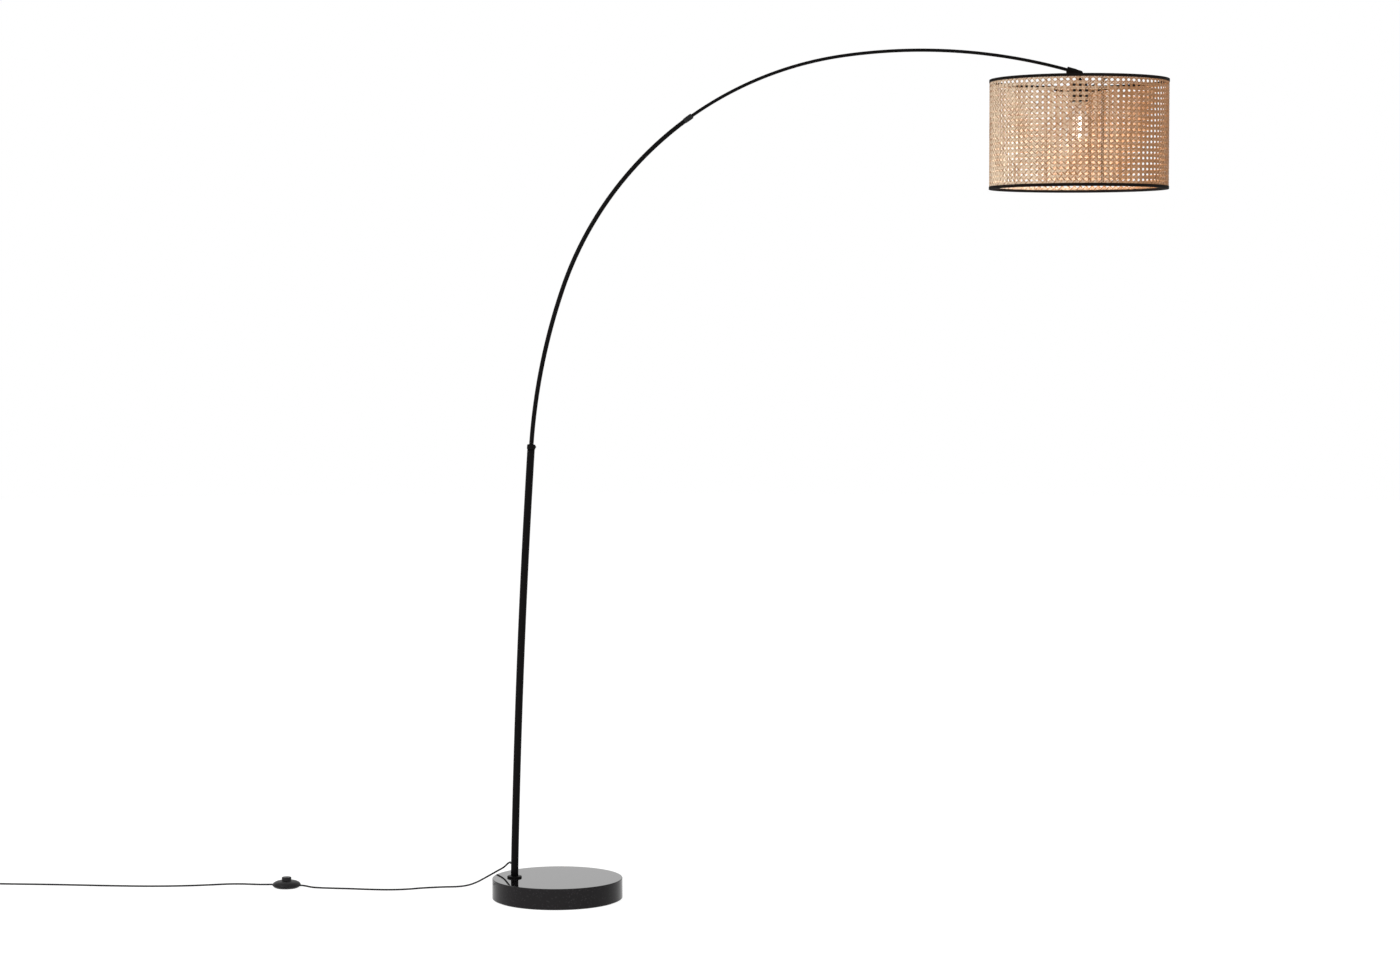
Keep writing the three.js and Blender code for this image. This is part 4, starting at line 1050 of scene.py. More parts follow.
class ARCLAMP_OT_cord(bpy.types.Operator):
    """Lay the mains cord through its switch to its coil and plug"""

    bl_idname = "arclamp.cord"
    bl_label = "Lay Cord"

    def execute(self, context):
        points = [point * MM for point in cord_points()]
        cord = smooth_wire("mains_cord", points, sizes().cord_diameter / 2)
        cord.data.materials.append(LOOKS["cord_sheath"])
        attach(cord, body_of("cord_to_switch"))
        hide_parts("cord_to_switch", "cord_to_coil", "cord_coil", "cord_tail")
        bpy.ops.arclamp.plug()
        bpy.ops.arclamp.switch()
        return {"FINISHED"}


class ARCLAMP_OT_plug(bpy.types.Operator):
    """Make the plug, its pins and the coil's tie"""

    bl_idname = "arclamp.plug"
    bl_label = "Make Plug"

    def execute(self, context):
        edge, edge_angle = 1.6, math.radians(20)
        outline = [(0, 3.2), (9.1, 5.5), (21.7, 17.5), (PLUG_LENGTH, 17.5)]
        bm = bmesh.new()
        verts = chain(bm, [(x, y, 0) for x, y in outline] + [(x, -y, 0) for x, y in reversed(outline)], True)
        top = bmesh.ops.extrude_face_region(bm, geom=[bm.faces.new(verts)])["geom"]
        bmesh.ops.translate(bm, verts=only_verts(top), vec=(0, 0, PLUG_THICKNESS))
        body = softened(tidy(bm), edge, edge_angle, CORNER_STEPS)
        made_piece("plug_body", body, "black_plastic", PLUG)
        self.make_pins(PLUG_LENGTH - edge)
        self.make_tie()
        return {"FINISHED"}

    def make_pins(self, start):
        """Both pins, with a plastic sleeve over the first stretch of each."""
        radius, length, spacing, sleeve, edge, step, soft = 2, 19, 18.6, 10, 0.8, 0.12, 0.2
        sleeve_end, end = PLUG_LENGTH + sleeve, PLUG_LENGTH + GAP + length
        bare_from = (PLUG @ Vector((sleeve_end, 0, 0))).x * MM
        for side, name in ((-1, "plug_pin_left"), (1, "plug_pin_right")):
            pin = turned([
                *stepped(0, start, radius, sleeve_end), (radius - step, sleeve_end + GAP),
                (radius - step, end - edge), (radius - edge, end), (0, end),
            ], SMALL)
            place = PLUG @ Matrix.Translation((0, side * spacing / 2, PLUG_THICKNESS / 2)) @ ALONG_X
            made = made_piece(name, softened(pin, soft), "plug_pins", place)
            second_finish(made, "black_plastic", lambda face: face.center.x > bare_from)

    def make_tie(self):
        """A flat band round one side of the coil."""
        width, corner, tie_turn = 8, 2, 0.25
        cord_radius = in_mm(sizes().cord_diameter) / 2
        bow = COIL_RADIUS - math.sqrt(COIL_RADIUS ** 2 - (width / 2) ** 2)
        innermost = COIL_RADIUS - COIL_PITCH * (COIL_LAYER_TURNS - tie_turn)
        inner = innermost - cord_radius - 2 * bow - GAP - TIE_THICKNESS
        outer = COIL_RADIUS + cord_radius + GAP + TIE_THICKNESS
        top = 2 * (TIE_THICKNESS + GAP + cord_radius) + COIL_PITCH
        bm = bmesh.new()
        verts = chain(bm, [(-outer, 0, 0), (-inner, 0, 0), (-inner, 0, top), (-outer, 0, top)], True)
        bevelled(bm, verts, corner, "VERTICES", CORNER_STEPS)
        far = only_verts(bmesh.ops.extrude_edge_only(bm, edges=bm.edges[:])["geom"])
        bmesh.ops.translate(bm, verts=far, vec=(0, width, 0))
        place = Matrix.Translation((COIL_X, COIL_ENTRY_Y + COIL_RADIUS - width / 2, 0))
        made_piece("cord_tie", tidy(bm), "tape", place, wall=TIE_THICKNESS)


class ARCLAMP_OT_switch(bpy.types.Operator):
    """Make the foot switch that the cord passes through"""

    bl_idname = "arclamp.switch"
    bl_label = "Make Foot Switch"

    def execute(self, context):
        foot, wall, split = 25, SWITCH_WALL, SWITCH_SPLIT - GAP / 2
        middle = (foot + SWITCH_RADIUS) / 2
        self.make_shell("switch_cover", self.dome(0) + self.dome(wall)[::-1])
        self.make_shell("switch_base", [
            (0, 0), (foot, 0), (middle, wall), (SWITCH_RADIUS, split), (SWITCH_RADIUS - wall, split),
            (foot, wall + GAP), (0, wall),
        ])
        self.make_button(SWITCH_HEIGHT - wall - GAP)
        return {"FINISHED"}

    def dome(self, wall, steps=14):
        """The cover's outline from its rim to the button's hole, inset by a wall."""
        radius, hole = SWITCH_RADIUS - wall, BUTTON_RADIUS + GAP
        top = SWITCH_HEIGHT - SWITCH_SPLIT
        return [(
            radius - (radius - hole) * share,
            SWITCH_SPLIT + GAP / 2 + (top - wall * share) * math.sqrt(1 - (1 - share) ** 2),
        ) for share in shares(steps)]

    def make_shell(self, name, profile):
        """Half of the housing, bored for the cord."""
        reach = SWITCH_RADIUS + OVERRUN
        cord_hole = in_mm(sizes().cord_diameter) / 2 + GAP
        bore = rod(cord_hole, -reach, reach, place=raised(SWITCH_SPLIT) @ ALONG_X)
        made_piece(name, carved(softened(turned(profile, LARGE)), bore), "black_plastic", SWITCH)

    def make_button(self, rim_top):
        """The dished button, with a rim that the cover holds down."""
        radius, top, edge, wall, rim_radius, rim_height = BUTTON_RADIUS, 24.5, 1.4, 1.8, 13, 1.6
        dish, dish_radius, floor_radius, floor_depth = 0.5, 8.58, 4.95, 0.4
        ceiling = top - wall - dish
        button = turned([
            (0, top - dish), (floor_radius, top - floor_depth), (dish_radius, top),
            *arc(radius - edge, top - edge, edge, QUARTER, 0, EDGE_STEPS),
            *stepped(radius, rim_top, rim_radius, rim_top - rim_height, radius - wall, ceiling, 0),
        ], LARGE)
        made_piece("switch_button", button, "black_plastic", SWITCH)
        self.make_spring(BLOCK_TOP + GAP, ceiling - GAP)

    def make_spring(self, foot, head):
        """The button's spring, with flat turns at both ends."""
        radius, wire_radius, turns, flat_turns, points_per_turn = 6.5, 0.6, 5, 0.6, 10
        low, high = foot + wire_radius, head - wire_radius
        points = []
        for turn in [turns * share for share in shares(turns * points_per_turn)]:
            risen = held((turn - flat_turns) / (turns - 2 * flat_turns))
            points.append((
                radius * math.cos(TURN * turn), radius * math.sin(TURN * turn),
                low + (high - low) * risen,
            ))
        spring = made_piece("switch_spring", swept(points, wire_radius), "steel", SWITCH)
        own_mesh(spring)


class ARCLAMP_OT_base(bpy.types.Operator):
    """Make the polished stone base, its felt, and the rosette under the pole"""

    bl_idname = "arclamp.base"
    bl_label = "Make Base"

    def execute(self, context):
        edge, chamfer, side_lean = 1.8, 1.2, 0.97
        radius, height, felt = BASE_RADIUS, BASE_HEIGHT, FELT_THICKNESS
        hole_radius, recess_radius, recess_top, felt_radius = 6.5, 18, 19, 141
        at_foot = Matrix.Translation((-FOOT_OFFSET, 0, 0))
        stone = turned([
            (0, felt), (radius - chamfer, felt), (radius, felt + chamfer), (radius, height - 2 * edge),
            *arc(radius - edge, height - edge, edge, 0, QUARTER, EDGE_STEPS),
            (radius - 2 * edge, height), (0, height),
        ], FINE)
        hole = rod(hole_radius, -OVERRUN, height + OVERRUN, place=at_foot)
        recess = rod(recess_radius, -OVERRUN, recess_top, LARGE, at_foot)
        base = made_piece("base_stone", carved(stone, hole, recess), "stone")
        second_finish(base, "honed_stone", lambda face: abs(face.normal.z) < side_lean)
        cloth = softened(turned(stepped(0, 0, felt_radius, felt, 0), FINE), GAP)
        opening = rod(recess_radius, -OVERRUN, felt + OVERRUN, LARGE, at_foot)
        made_piece("base_felt", carved(cloth, opening), "felt")
        self.make_rosette()
        return {"FINISHED"}

    def make_rosette(self):
        radius, bore, edge, height = 16.5, 7, 1.2, ROSETTE_HEIGHT
        profile = [*stepped(bore, 0, radius, height - edge), *stepped(radius - edge, height, bore)]
        made_piece("foot_rosette", softened(turned(profile, LARGE)), "lacquer", FOOT)


class ARCLAMP_OT_tubes(bpy.types.Operator):
    """Make the pole, the sleeve arc, the arm, their collars, and the lead inside them"""

    bl_idname = "arclamp.tubes"
    bl_label = "Make Tubes"

    def execute(self, context):
        for name, start, end, radius, sides, wall in (
            ("pole_tube", ROSETTE_HEIGHT + GAP, POLE_LENGTH, POLE_RADIUS, MIDDLE, POLE_WALL),
            ("sleeve_arc", SLEEVE_FROM, REACH_COLLAR_AT, SLEEVE_RADIUS, SMALL, SLEEVE_WALL),
            ("upper_arc", ARM_FROM, ARM_TO, ARM_RADIUS, SMALL, ARM_WALL),
        ):
            made_piece(name, bent_tube(start, end, radius, sides), "lacquer", wall=wall)
        self.make_pole_collar(SLEEVE_RADIUS + GAP, on_line(POLE_LENGTH))
        self.make_reach_collar(SLEEVE_RADIUS + GAP)
        self.make_relief()
        self.make_lead()
        return {"FINISHED"}

    def make_pole_collar(self, bore, place):
        """The ring in the pole's end, with the grub screw that clamps the sleeve."""
        radius, height, chamfer, plug_length = 9.5, 11, 1.6, 34
        grub_radius, grub_top, socket_radius, socket_depth = 2.2, 10.9, 1.2, 1.6
        sideways = raised(height / 2) @ ALONG_X
        collar = turned([
            *stepped(bore, -plug_length, POLE_RADIUS - POLE_WALL - GAP, GAP, radius, height - chamfer),
            *stepped(radius - chamfer, height, bore),
        ], LARGE)
        grub_hole = rod(grub_radius + GAP, 0, grub_top + OVERRUN, place=sideways)
        made_piece("pole_collar", carved(softened(collar), grub_hole), "lacquer", place)
        grub = softened(rod(grub_radius, bore, grub_top))
        socket = rod(socket_radius, grub_top - socket_depth, grub_top + OVERRUN, HEXAGON)
        made_piece("pole_grub_screw", carved(grub, socket), "lacquer", place @ sideways)

    def make_reach_collar(self, bore):
        """The twist collar that holds the arm, with a fine grip."""
        radius, mouth, lip, chamfer = 6.15, 5.6, ARM_RADIUS + GAP, 0.9
        below, shoulder, lip_at, above = -13, -8, 7.1, 8.6
        grip_from, grip_to, grip_depth = -6.4, 5.2, 0.16
        collar = turned([
            (bore, below), (mouth, below), (radius, shoulder), (radius, above - chamfer),
            *stepped(radius - chamfer, above, lip, lip_at, bore),
        ], LARGE)
        collar = gripped(collar, grip_from, grip_to, grip_depth)
        made_piece("reach_collar", collar, "soft_black", on_line(REACH_COLLAR_AT))

    def make_relief(self):
        """The ribbed strain relief where the cord leaves the pole."""
        neck_radius, flange_radius, root_radius, tip_radius = 3.6, 5.3, 4, 2.7
        flange_at, root_at, ribs, groove = 8.8, 10.3, 6, 0.55
        profile = stepped(
            0, RELIEF_INNER_END, neck_radius, flange_at, flange_radius, root_at, root_radius,
        )
        for share in shares(ribs)[1:-1]:
            radius = root_radius + (tip_radius - root_radius) * share
            height = root_at + (RELIEF_TIP_AT - root_at) * share
            profile += [
                (radius, height - groove), (radius - groove, height - groove / 2),
                (radius - groove, height + groove / 2), (radius, height + groove),
            ]
        profile += stepped(tip_radius, RELIEF_TIP_AT, 0)
        made_piece("cord_relief", softened(turned(profile, SMALL), softness() / 2), "soft_black", EXIT)

    def make_lead(self):
        """The lead from the strain relief through the tubes to the knuckle."""
        bend, lift, slack, steps = 9, 26, 3, 64
        start, end = EXIT_HEIGHT + lift, ARM_TO - slack
        points = [EXIT @ Vector(point) for point in (
            (0, 0, RELIEF_INNER_END - GAP), (0, 0, LEAD_RADIUS), (-bend, 0, RELIEF_INNER_END - bend),
        )]
        points += [on_line(start + (end - start) * share).translation for share in shares(steps)]
        halves = ["lead_lower", "lead_upper"]
        wire = swept(points, LEAD_RADIUS)
        lead = made_piece("tube_lead", wire, "cord_sheath", nodes=halves, rides=False)
        folds = [tuple(on_line(at).translation * MM) for at in (LEAD_FOLD_FROM, LEAD_FOLD_TO)]
        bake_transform(lead)


class ARCLAMP_OT_knuckle(bpy.types.Operator):
    """Make the knuckle, its screw and nut, and the swivel that tilts in it"""

    bl_idname = "arclamp.knuckle"
    bl_label = "Make Knuckle"

    def execute(self, context):
        reach = KNUCKLE_RADIUS + OVERRUN
        self.make_fork(reach)
        self.make_screw()
        self.make_swivel(reach)
        return {"FINISHED"}

    def make_fork(self, reach):
        """A rounded body over the arm's end, flat on both sides and slotted for the swivel."""
        socket, chamfer, slot_half_width, slot_depth = 13, 0.9, 3.5, 8
        radius, half_width, end = KNUCKLE_RADIUS, KNUCKLE_HALF_WIDTH, PIVOT_REACH + KNUCKLE_RADIUS
        at_pivot = raised(PIVOT_REACH) @ ACROSS
        rounded = turned([
            *stepped(LEAD_BORE, GAP, ARM_RADIUS + GAP, -socket, radius - chamfer),
            (radius, chamfer - socket), (radius, end), (LEAD_BORE, end),
        ], LARGE)
        cheek = carved(
            block(reach, half_width, -socket - OVERRUN, PIVOT_REACH),
            rod(radius, -half_width, half_width, LARGE, at_pivot), operation="UNION",
        )
        fork = carved(
            carved(rounded, cheek, operation="INTERSECT"),
            block(reach, slot_half_width, PIVOT_REACH - slot_depth, end + OVERRUN),
            rod(PIVOT_RADIUS + GAP, -reach, reach, place=at_pivot),
        )
        made_piece("arm_knuckle", softened(fork, softness() / 2, CARVED_ANGLE, 1), "lacquer", KNUCKLE)

    def make_screw(self):
        """The socket screw that the swivel tilts on, and its nut."""
        head_radius, head_height, socket_radius, socket_depth = 4.5, 2.8, 1.8, 1.7
        nut_across, nut_height = 8, 4
        face = KNUCKLE_HALF_WIDTH + GAP
        head, end = -face - head_height, face + nut_height
        screw = softened(turned(stepped(0, head, head_radius, -face, PIVOT_RADIUS, end, 0)))
        socket = rod(socket_radius, head - OVERRUN, head + socket_depth, HEXAGON)
        made_piece("pivot_screw", carved(screw, socket), "lacquer", PIVOT @ ACROSS)
        nut = softened(rod(nut_across / math.sqrt(3), face, end, HEXAGON))
        thread = rod(PIVOT_RADIUS + GAP, face - OVERRUN, end + OVERRUN)
        made_piece("pivot_nut", carved(nut, thread), "lacquer", PIVOT @ ACROSS)

    def make_swivel(self, reach):
        """A tongue with an eye, over a flanged stem whose thread holds the lampholder."""
        stem_radius, flange_radius, nipple_radius, eye_radius = 4.5, 7.5, 4.8, 6
        top, flange_top, flange_bottom, end = -9.5, -13, -15.5, -24
        half_width, half_thickness = 4.5, 2.1
        stem = turned(stepped(
            0, top, stem_radius, flange_top, flange_radius, flange_bottom, nipple_radius, end, 0,
        ))
        tongue = block(half_width, half_thickness, top - half_thickness, 0)
        eye = rod(eye_radius, -half_thickness, half_thickness, MIDDLE, ACROSS)
        swivel = carved(
            carved(stem, tongue, eye, operation="UNION"),
            rod(PIVOT_RADIUS + GAP, -reach, reach, place=ACROSS), rod(LEAD_BORE, end - OVERRUN, top),
        )
        made_piece("shade_swivel", softened(swivel, softness() / 2, CARVED_ANGLE, 1), "lacquer", HEAD)


class ARCLAMP_OT_holder(bpy.types.Operator):
    """Make the lampholder's cap, body, ring nut and threaded shell"""

    bl_idname = "arclamp.holder"
    bl_label = "Make Holder"

    def execute(self, context):
        self.make_cap()
        bore, flange_radius, skirt_radius = 14.6, 22, 19.5
        top, flange_bottom, skirt_bottom = -36.1, -39.1, -63.1
        body = stepped(bore, top, flange_radius, flange_bottom, skirt_radius, skirt_bottom, bore)
        made_piece("holder_body", softened(turned(body, LARGE)), "black_plastic", HEAD)
        self.make_nut()
        radius, wall, top, bottom = 14.2, 0.4, -35.8, -59.8
        shell = turned(stepped(radius - wall, top, radius, bottom, radius - wall))
        made_piece("holder_shell", shell, "brass", HEAD)
        return {"FINISHED"}

    def make_cap(self):
        radius, top_radius, hole, wall = 18.5, 9.5, 5.1, 2.1
        top, bottom, shoulder_drop, steps = -15.8, -35.8, 9, 12
        shoulder = [(
            top_radius + (radius - top_radius) * math.sin(angle),
            top - shoulder_drop * (1 - math.cos(angle)),
        ) for angle in [QUARTER * share for share in shares(steps)]]
        cap = turned([
            (hole, top), *shoulder, *stepped(radius, bottom, radius - wall),
            *[(r - wall, height - wall) for r, height in shoulder[::-1]], (hole, top - wall),
        ], LARGE)
        made_piece("holder_cap", softened(cap), "black_plastic", HEAD)

    def make_nut(self):
        """The ring nut that clamps the shade, with a coarse grip."""
        radius, bore, chamfer, grip_depth = 24.5, 19.8, 1, 0.8
        top, bottom = -42.1, -50.1
        nut = turned([
            *stepped(bore, top, radius - chamfer), (radius, top - chamfer), (radius, bottom + chamfer),
            *stepped(radius - chamfer, bottom, bore),
        ], LARGE)
        nut = gripped(nut, bottom + 2 * chamfer, top - 2 * chamfer, grip_depth)
        made_piece("shade_nut", nut, "black_plastic", HEAD)


class ARCLAMP_OT_bulb(bpy.types.Operator):
    """Make the clear bulb with its screw cap, glass stem and filaments"""

    bl_idname = "arclamp.bulb"
    bl_label = "Make Bulb"

    def execute(self, context):
        glass_wall = 0.9
        glass = turned(self.outline(0)[::-1] + self.outline(glass_wall), LARGE)
        made_piece("bulb_glass", glass, "clear_glass", HEAD)
        flange_radius, flange_height, radius, tip_radius, length = 10.7, 1.4, 4, 1.8, 30
        top, waist_radius, waist_drop = BULB_NECK_TOP, 3.2, 18
        stem = turned([
            *stepped(0, top, flange_radius, top - flange_height), (radius, top - flange_height - radius),
            (waist_radius, top - waist_drop), *stepped(tip_radius, top - length, 0),
        ], SMALL)
        made_piece("bulb_stem", softened(stem, GAP), "clear_glass", HEAD)
        self.make_filaments(top - length - GAP)
        self.make_cap()
        return {"FINISHED"}

    def outline(self, wall):
        """The bulb's outline from the neck to the bottom, inset by a wall."""
        neck_radius, bend, bend_steps, globe_steps = 12.3, 34, 12, 28
        centre, bend_centre = BULB_BOTTOM + GLOBE_RADIUS, neck_radius + bend
        lift = math.sqrt((GLOBE_RADIUS + bend) ** 2 - bend_centre ** 2)
        meeting = math.atan2(lift, bend_centre)
        fillet = arc(bend_centre, centre + lift, bend + wall, math.pi, math.pi + meeting, bend_steps)
        globe = arc(0, centre, GLOBE_RADIUS - wall, meeting, -QUARTER, globe_steps)
        return [(neck_radius - wall, BULB_NECK_TOP), *fillet, *globe[1:-1], (0, BULB_BOTTOM + wall)]

    def make_filaments(self, top):
        """Upright strips on wires between two rings, hung from the stem by spokes."""
        count, circle, radius, wire, length, bare, sides = 4, 5, 0.95, 0.35, 36, 2.2, 12
        bottom = top - length
        corner = Matrix.Rotation(TURN / (2 * count), 4, "Z") @ Vector((circle, 0, top - wire))
        beside = Matrix.Translation((corner.x, corner.y, 0))
        strip = softened(rod(radius, bottom + bare, top - bare, sides), radius / 2)
        filament = together(moved(strip, beside), rod(wire, bottom, top, THIN_WIRE, beside))
        rings = [hoop(circle, height, wire, SMALL, THIN_WIRE) for height in (top - wire, bottom + wire)]
        centre = rod(wire * 2, top - OVERRUN, top, sides)
        spokes = copies(between((0, 0, top - wire), corner, wire, THIN_WIRE), count)
        cage = together(copies(filament, count), *rings, centre, spokes)
        made = made_piece("bulb_filaments", cage, "filament", HEAD)

        def unlit(face):
            at = face.center / MM - HEAD.translation
            beyond = not bottom + bare - GAP < at.z < top - bare + GAP
            return beyond or math.hypot(at.x, at.y) < circle / 2

        second_finish(made, "steel", unlit)

    def make_cap(self):
        """The screw cap, its thread as rounded rings."""
        radius, wall, tip_radius, top, bottom = 13.2, 0.5, 4.5, -40.1, -64.1
        crown_inset, crown_drop, thread_inset, thread_drop = 1.4, 2, 1.5, 2.4
        pitch, depth, hollow_inset = 3.6, 0.9, 3
        crest = ((0, 1), (0.25, 0.3), (0.5, 0), (0.75, 0.3))
        profile = [(0, top), (tip_radius, top), (radius - crown_inset, top - crown_drop)]
        height = top - thread_drop
        while height - pitch > bottom + thread_inset:
            profile += [(radius - depth * sunk, height - pitch * share) for share, sunk in crest]
            height -= pitch
        inner = radius - depth - wall
        profile += [
            (radius - depth, height), (radius, bottom + GAP), *stepped(radius, bottom, radius - wall),
            (inner, bottom + hollow_inset), (inner, top - hollow_inset), (0, top - OVERRUN),
        ]
        made_piece("lamp_cap", turned(profile, LARGE), "lamp_cap", HEAD)


class ARCLAMP_OT_shade(bpy.types.Operator):
    """Make the shade's wire frame and the tape on its rims"""

    bl_idname = "arclamp.shade"
    bl_label = "Make Shade"

    def execute(self, context):
        ring_inset, spoke_radius, spoke_turn, spoke_count = 3, 1.8, math.radians(45), 3
        hub_radius, bore, top, bottom = 27, 20.1, -39.4, -41.8
        wire_top = RIM_TOP - ring_inset
        hub = softened(turned(stepped(bore, bottom, hub_radius, top, bore), LARGE))
        middle = ((hub_radius + bore) / 2, 0, (top + bottom) / 2)
        spoke = between(middle, (RING_RADIUS, 0, wire_top), spoke_radius)
        spokes = copies(moved(spoke, Matrix.Rotation(spoke_turn, 4, "Z")), spoke_count)
        wires = carved(hoop(RING_RADIUS, wire_top, RING_WIRE), spokes, hub, operation="UNION")
        made_piece("shade_frame", wires, "lacquer", HEAD)
        ring = hoop(RING_RADIUS, RIM_BOTTOM + ring_inset, RING_WIRE)
        made_piece("shade_bottom_ring", ring, "lacquer", HEAD)
        self.edge_tape("shade_tape_top", RIM_TOP, -1)
        self.edge_tape("shade_tape_bottom", RIM_BOTTOM, 1)
        return {"FINISHED"}

    def edge_tape(self, name, edge, inward):
        """Tape folded over one rim: a band outside, a web across and a lip inside."""
        width, lip_width, thickness = 6.6, 6, TAPE_THICKNESS
        web = RING_RADIUS - RING_WIRE
        low, high, lip = [edge + inward * size for size in (width, thickness, lip_width)]
        band = turned(stepped(
            web - thickness, edge, TAPE_RADIUS, low, TAPE_RADIUS - thickness, high, web, lip,
            web - thickness,
        ), FINE)
        made_piece(name, softened(band, thickness * 0.6), "tape", HEAD)


class ARCLAMP_OT_webbing(bpy.types.Operator):
    """Weave the cane: pairs of uprights and hoops, and two sets of slanting strands"""

    bl_idname = "arclamp.webbing"
    bl_label = "Weave Cane"

    def execute(self, context):
        chosen = sizes()
        self.columns, self.rows = chosen.columns, chosen.rows
        self.column_pitch = TURN * WEB_RADIUS / chosen.columns
        self.row_pitch = in_mm(chosen.row_pitch)
        self.thickness = in_mm(chosen.strand_thickness)
        self.half = in_mm(chosen.pair_spacing) / 2
        self.over = self.thickness / 2
        self.heights = [WEB_FIRST_PAIR + self.row_pitch * j for j in range(self.rows)]
        self.weave_uprights(in_mm(chosen.strand_width))
        self.weave_hoops(in_mm(chosen.strand_width))
        self.weave_slants(in_mm(chosen.diagonal_width))
        return {"FINISHED"}

    def weave_uprights(self, width):
        uprights = []
        for side in (-1, 1):
            along, over = side * self.half, side * self.over
            stations = [(along, 0, 0)]
            for height in self.heights:
                stations += [
                    (along, height - self.half, -over), (along, height + self.half, over),
                    *[(along, height + self.row_pitch * share, 0) for share in FLAT_SHARES],
                ]
            stations[-2:] = [(along, WEB_HEIGHT, 0)]
            strands, seed = copies(self.strand(stations, width), self.columns), UPRIGHT_SEED + side
            uprights.append(self.shaded(strands, self.columns, seed, UPRIGHT_SHADES, SEAM_COLUMNS))
        self.hang("cane_uprights", together(*uprights))

    def weave_hoops(self, width):
        hoops = []
        pitch, half, around = self.column_pitch, self.half, TURN * WEB_RADIUS
        for j, height in enumerate(self.heights):
            for side in (-1, 1):
                up, over = height + side * half, side * self.over
                stations = []
                for start in [pitch * i for i in range(self.columns)]:
                    stations += [
                        (start - half, up, over), (start + half, up, -over),
                        *[(start + pitch * share, up, 0) for share in FLAT_SHARES],
                    ]
                stations.append((around - half, up, over))
                strand = self.strand(stations, width, closed=True)
                hoops.append(self.shaded(strand, 1, HOOP_SEED + 2 * j + side, HOOP_SHADES))
        self.hang("cane_hoops", together(*hoops))

    def weave_slants(self, width):
        clearance, sharpness, steps = 1.1, 1.35, 8
        lift = self.thickness * clearance
        for name, lean, seed in (("cane_rising", 1, RISING_SEED), ("cane_falling", -1, FALLING_SEED)):
            stations = []
            for share in [k / steps for k in range(1, steps * self.rows - 1)]:
                wave = max(-1, min(1, sharpness * math.cos(TURN * share)))
                stations.append((
                    lean * self.column_pitch * share,
                    WEB_FIRST_PAIR + self.row_pitch * (share - 0.5), -lean * lift * wave,
                ))
            strands = copies(self.strand(stations, width), self.columns)
            self.hang(name, self.shaded(strands, self.columns, seed, SLANT_SHADES))

    def strand(self, stations, width, closed=False):
        """One strand through (along, up, out) stations on the unrolled drum, wrapped round it."""
        bm = bmesh.new()
        count = len(stations) - 1
        half, crown, out = 0.5 * width, 0.33 * width, self.thickness / 2
        corners = [(-half, -out), (half, -out), (crown, out), (-crown, out), (-half, -out)]
        bmesh.ops.create_grid(bm, x_segments=count, y_segments=len(corners) - 1, size=0.5)
        fibre = bm.loops.layers.uv.new("fibre")
        lengths = [0]
        for a, b in zip(stations, stations[1:]):
            lengths.append(lengths[-1] + math.dist(a, b) * MM)
        for face in bm.faces:
            for loop in face.loops:
                station = round((loop.vert.co.x + 0.5) * count)
                loop[fibre].uv = (loop.vert.co.y, lengths[station])
        for vert in bm.verts:
            station = round((vert.co.x + 0.5) * count)
            across, out = corners[round((vert.co.y + 0.5) * (len(corners) - 1))]
            before, after = stations[max(0, station - 1)], stations[min(count, station + 1)]
            run = Vector((after[0] - before[0], after[1] - before[1])).normalized()
            along, up, lift = stations[station]
            angle = WEAVE_TURN + (along - run.y * across) / WEB_RADIUS
            radius = WEB_RADIUS + lift + out
            vert.co = (
                radius * math.cos(angle), radius * math.sin(angle), WEB_BOTTOM + up + run.x * across,
            )
        bmesh.ops.remove_doubles(bm, verts=bm.verts, dist=MERGE_GAP)
        if not closed:
            rims = [edge for edge in bm.edges if edge.is_boundary]
            bmesh.ops.holes_fill(bm, edges=rims, sides=len(corners))
        return bm

    def shaded(self, bm, count, seed, shades, seams=()):
        """Gives each of a number of equal strands its own shade, from a seeded draw."""
        draw = random.Random(seed)
        middle, spread = shades
        tones = [middle + spread * (draw.random() - 0.5) for _ in range(count)]
        for angle, tone in seams:
            tones[round(angle / (TURN / count)) % count] = tone
        layer = bm.verts.layers.float.new("strand")
        each = len(bm.verts) // count
        for i, vert in enumerate(bm.verts):
            vert[layer] = tones[min(count - 1, i // each)]
        return bm

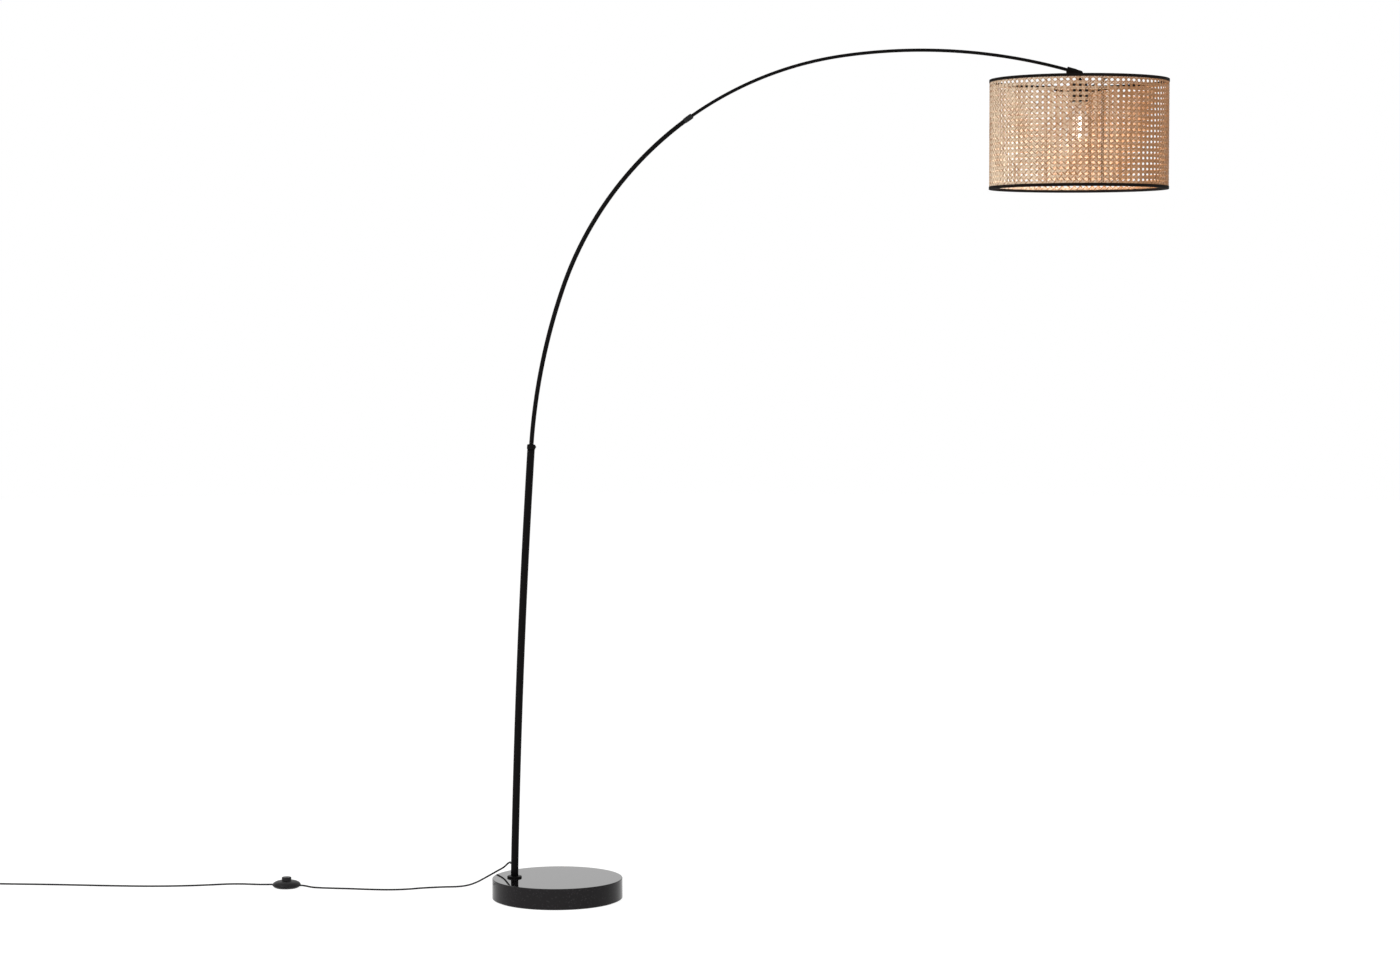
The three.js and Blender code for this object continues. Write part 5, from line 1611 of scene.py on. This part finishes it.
    def hang(self, name, bm):
        """Lets a set of strands wander a little, as the others do, and puts it in its place."""
        size, scale, calm, elsewhere = 0.9, 0.022, 20, Vector((31.7, 0, 0))
        for vert in bm.verts:
            x, y, z = vert.co
            around = noise.noise(vert.co * scale)
            up = noise.noise(vert.co * scale + elsewhere)
            free = held(min(z - WEB_BOTTOM, WEB_BOTTOM + WEB_HEIGHT - z) / calm)
            turn = 2 * around * size / WEB_RADIUS
            vert.co = (
                x * math.cos(turn) - y * math.sin(turn), x * math.sin(turn) + y * math.cos(turn),
                z + 2 * up * size * free,
            )
        made_piece(name, bm, "cane", HEAD, ["shade_cane"])


class ARCLAMP_PT_panel(bpy.types.Panel):
    """Lists the lamp's settings and the steps that make it"""

    bl_idname = "ARCLAMP_PT_panel"
    bl_label = "Arc Floor Lamp"
    bl_space_type = "VIEW_3D"
    bl_region_type = "UI"
    bl_category = "Arc Lamp"

    def draw(self, context):
        for settings in (colours(), sizes(), stage_settings()):
            box = self.layout.box()
            for name in settings.bl_rna.properties.keys():
                if name not in ("rna_type", "name"):
                    box.prop(settings, name)
        for step in STEPS:
            self.layout.operator(step)


STEPS = [
    "arclamp.stage", "arclamp.finishes", "arclamp.cord", "arclamp.base", "arclamp.tubes",
    "arclamp.knuckle", "arclamp.holder", "arclamp.bulb", "arclamp.shade", "arclamp.webbing",
]
CLASSES = [
    ArcLampColours, ArcLampSizes, ArcLampStage,
    ARCLAMP_OT_stage, ARCLAMP_OT_finishes, ARCLAMP_OT_cord, ARCLAMP_OT_plug, ARCLAMP_OT_switch,
    ARCLAMP_OT_base, ARCLAMP_OT_tubes, ARCLAMP_OT_knuckle, ARCLAMP_OT_holder, ARCLAMP_OT_bulb,
    ARCLAMP_OT_shade, ARCLAMP_OT_webbing, ARCLAMP_PT_panel,
]
SETTINGS = {
    "arc_lamp_colours": ArcLampColours,
    "arc_lamp_sizes": ArcLampSizes,
    "arc_lamp_stage": ArcLampStage,
}


def register():
    for cls in CLASSES:
        bpy.utils.register_class(cls)
    for name, group in SETTINGS.items():
        setattr(bpy.types.Scene, name, PointerProperty(type=group))


def unregister():
    for name in SETTINGS:
        delattr(bpy.types.Scene, name)
    for cls in reversed(CLASSES):
        bpy.utils.unregister_class(cls)


def main():
    register()
    for step in STEPS:
        group, name = step.split(".")
        getattr(getattr(bpy.ops, group), name)()


if __name__ == "__main__":
    main()
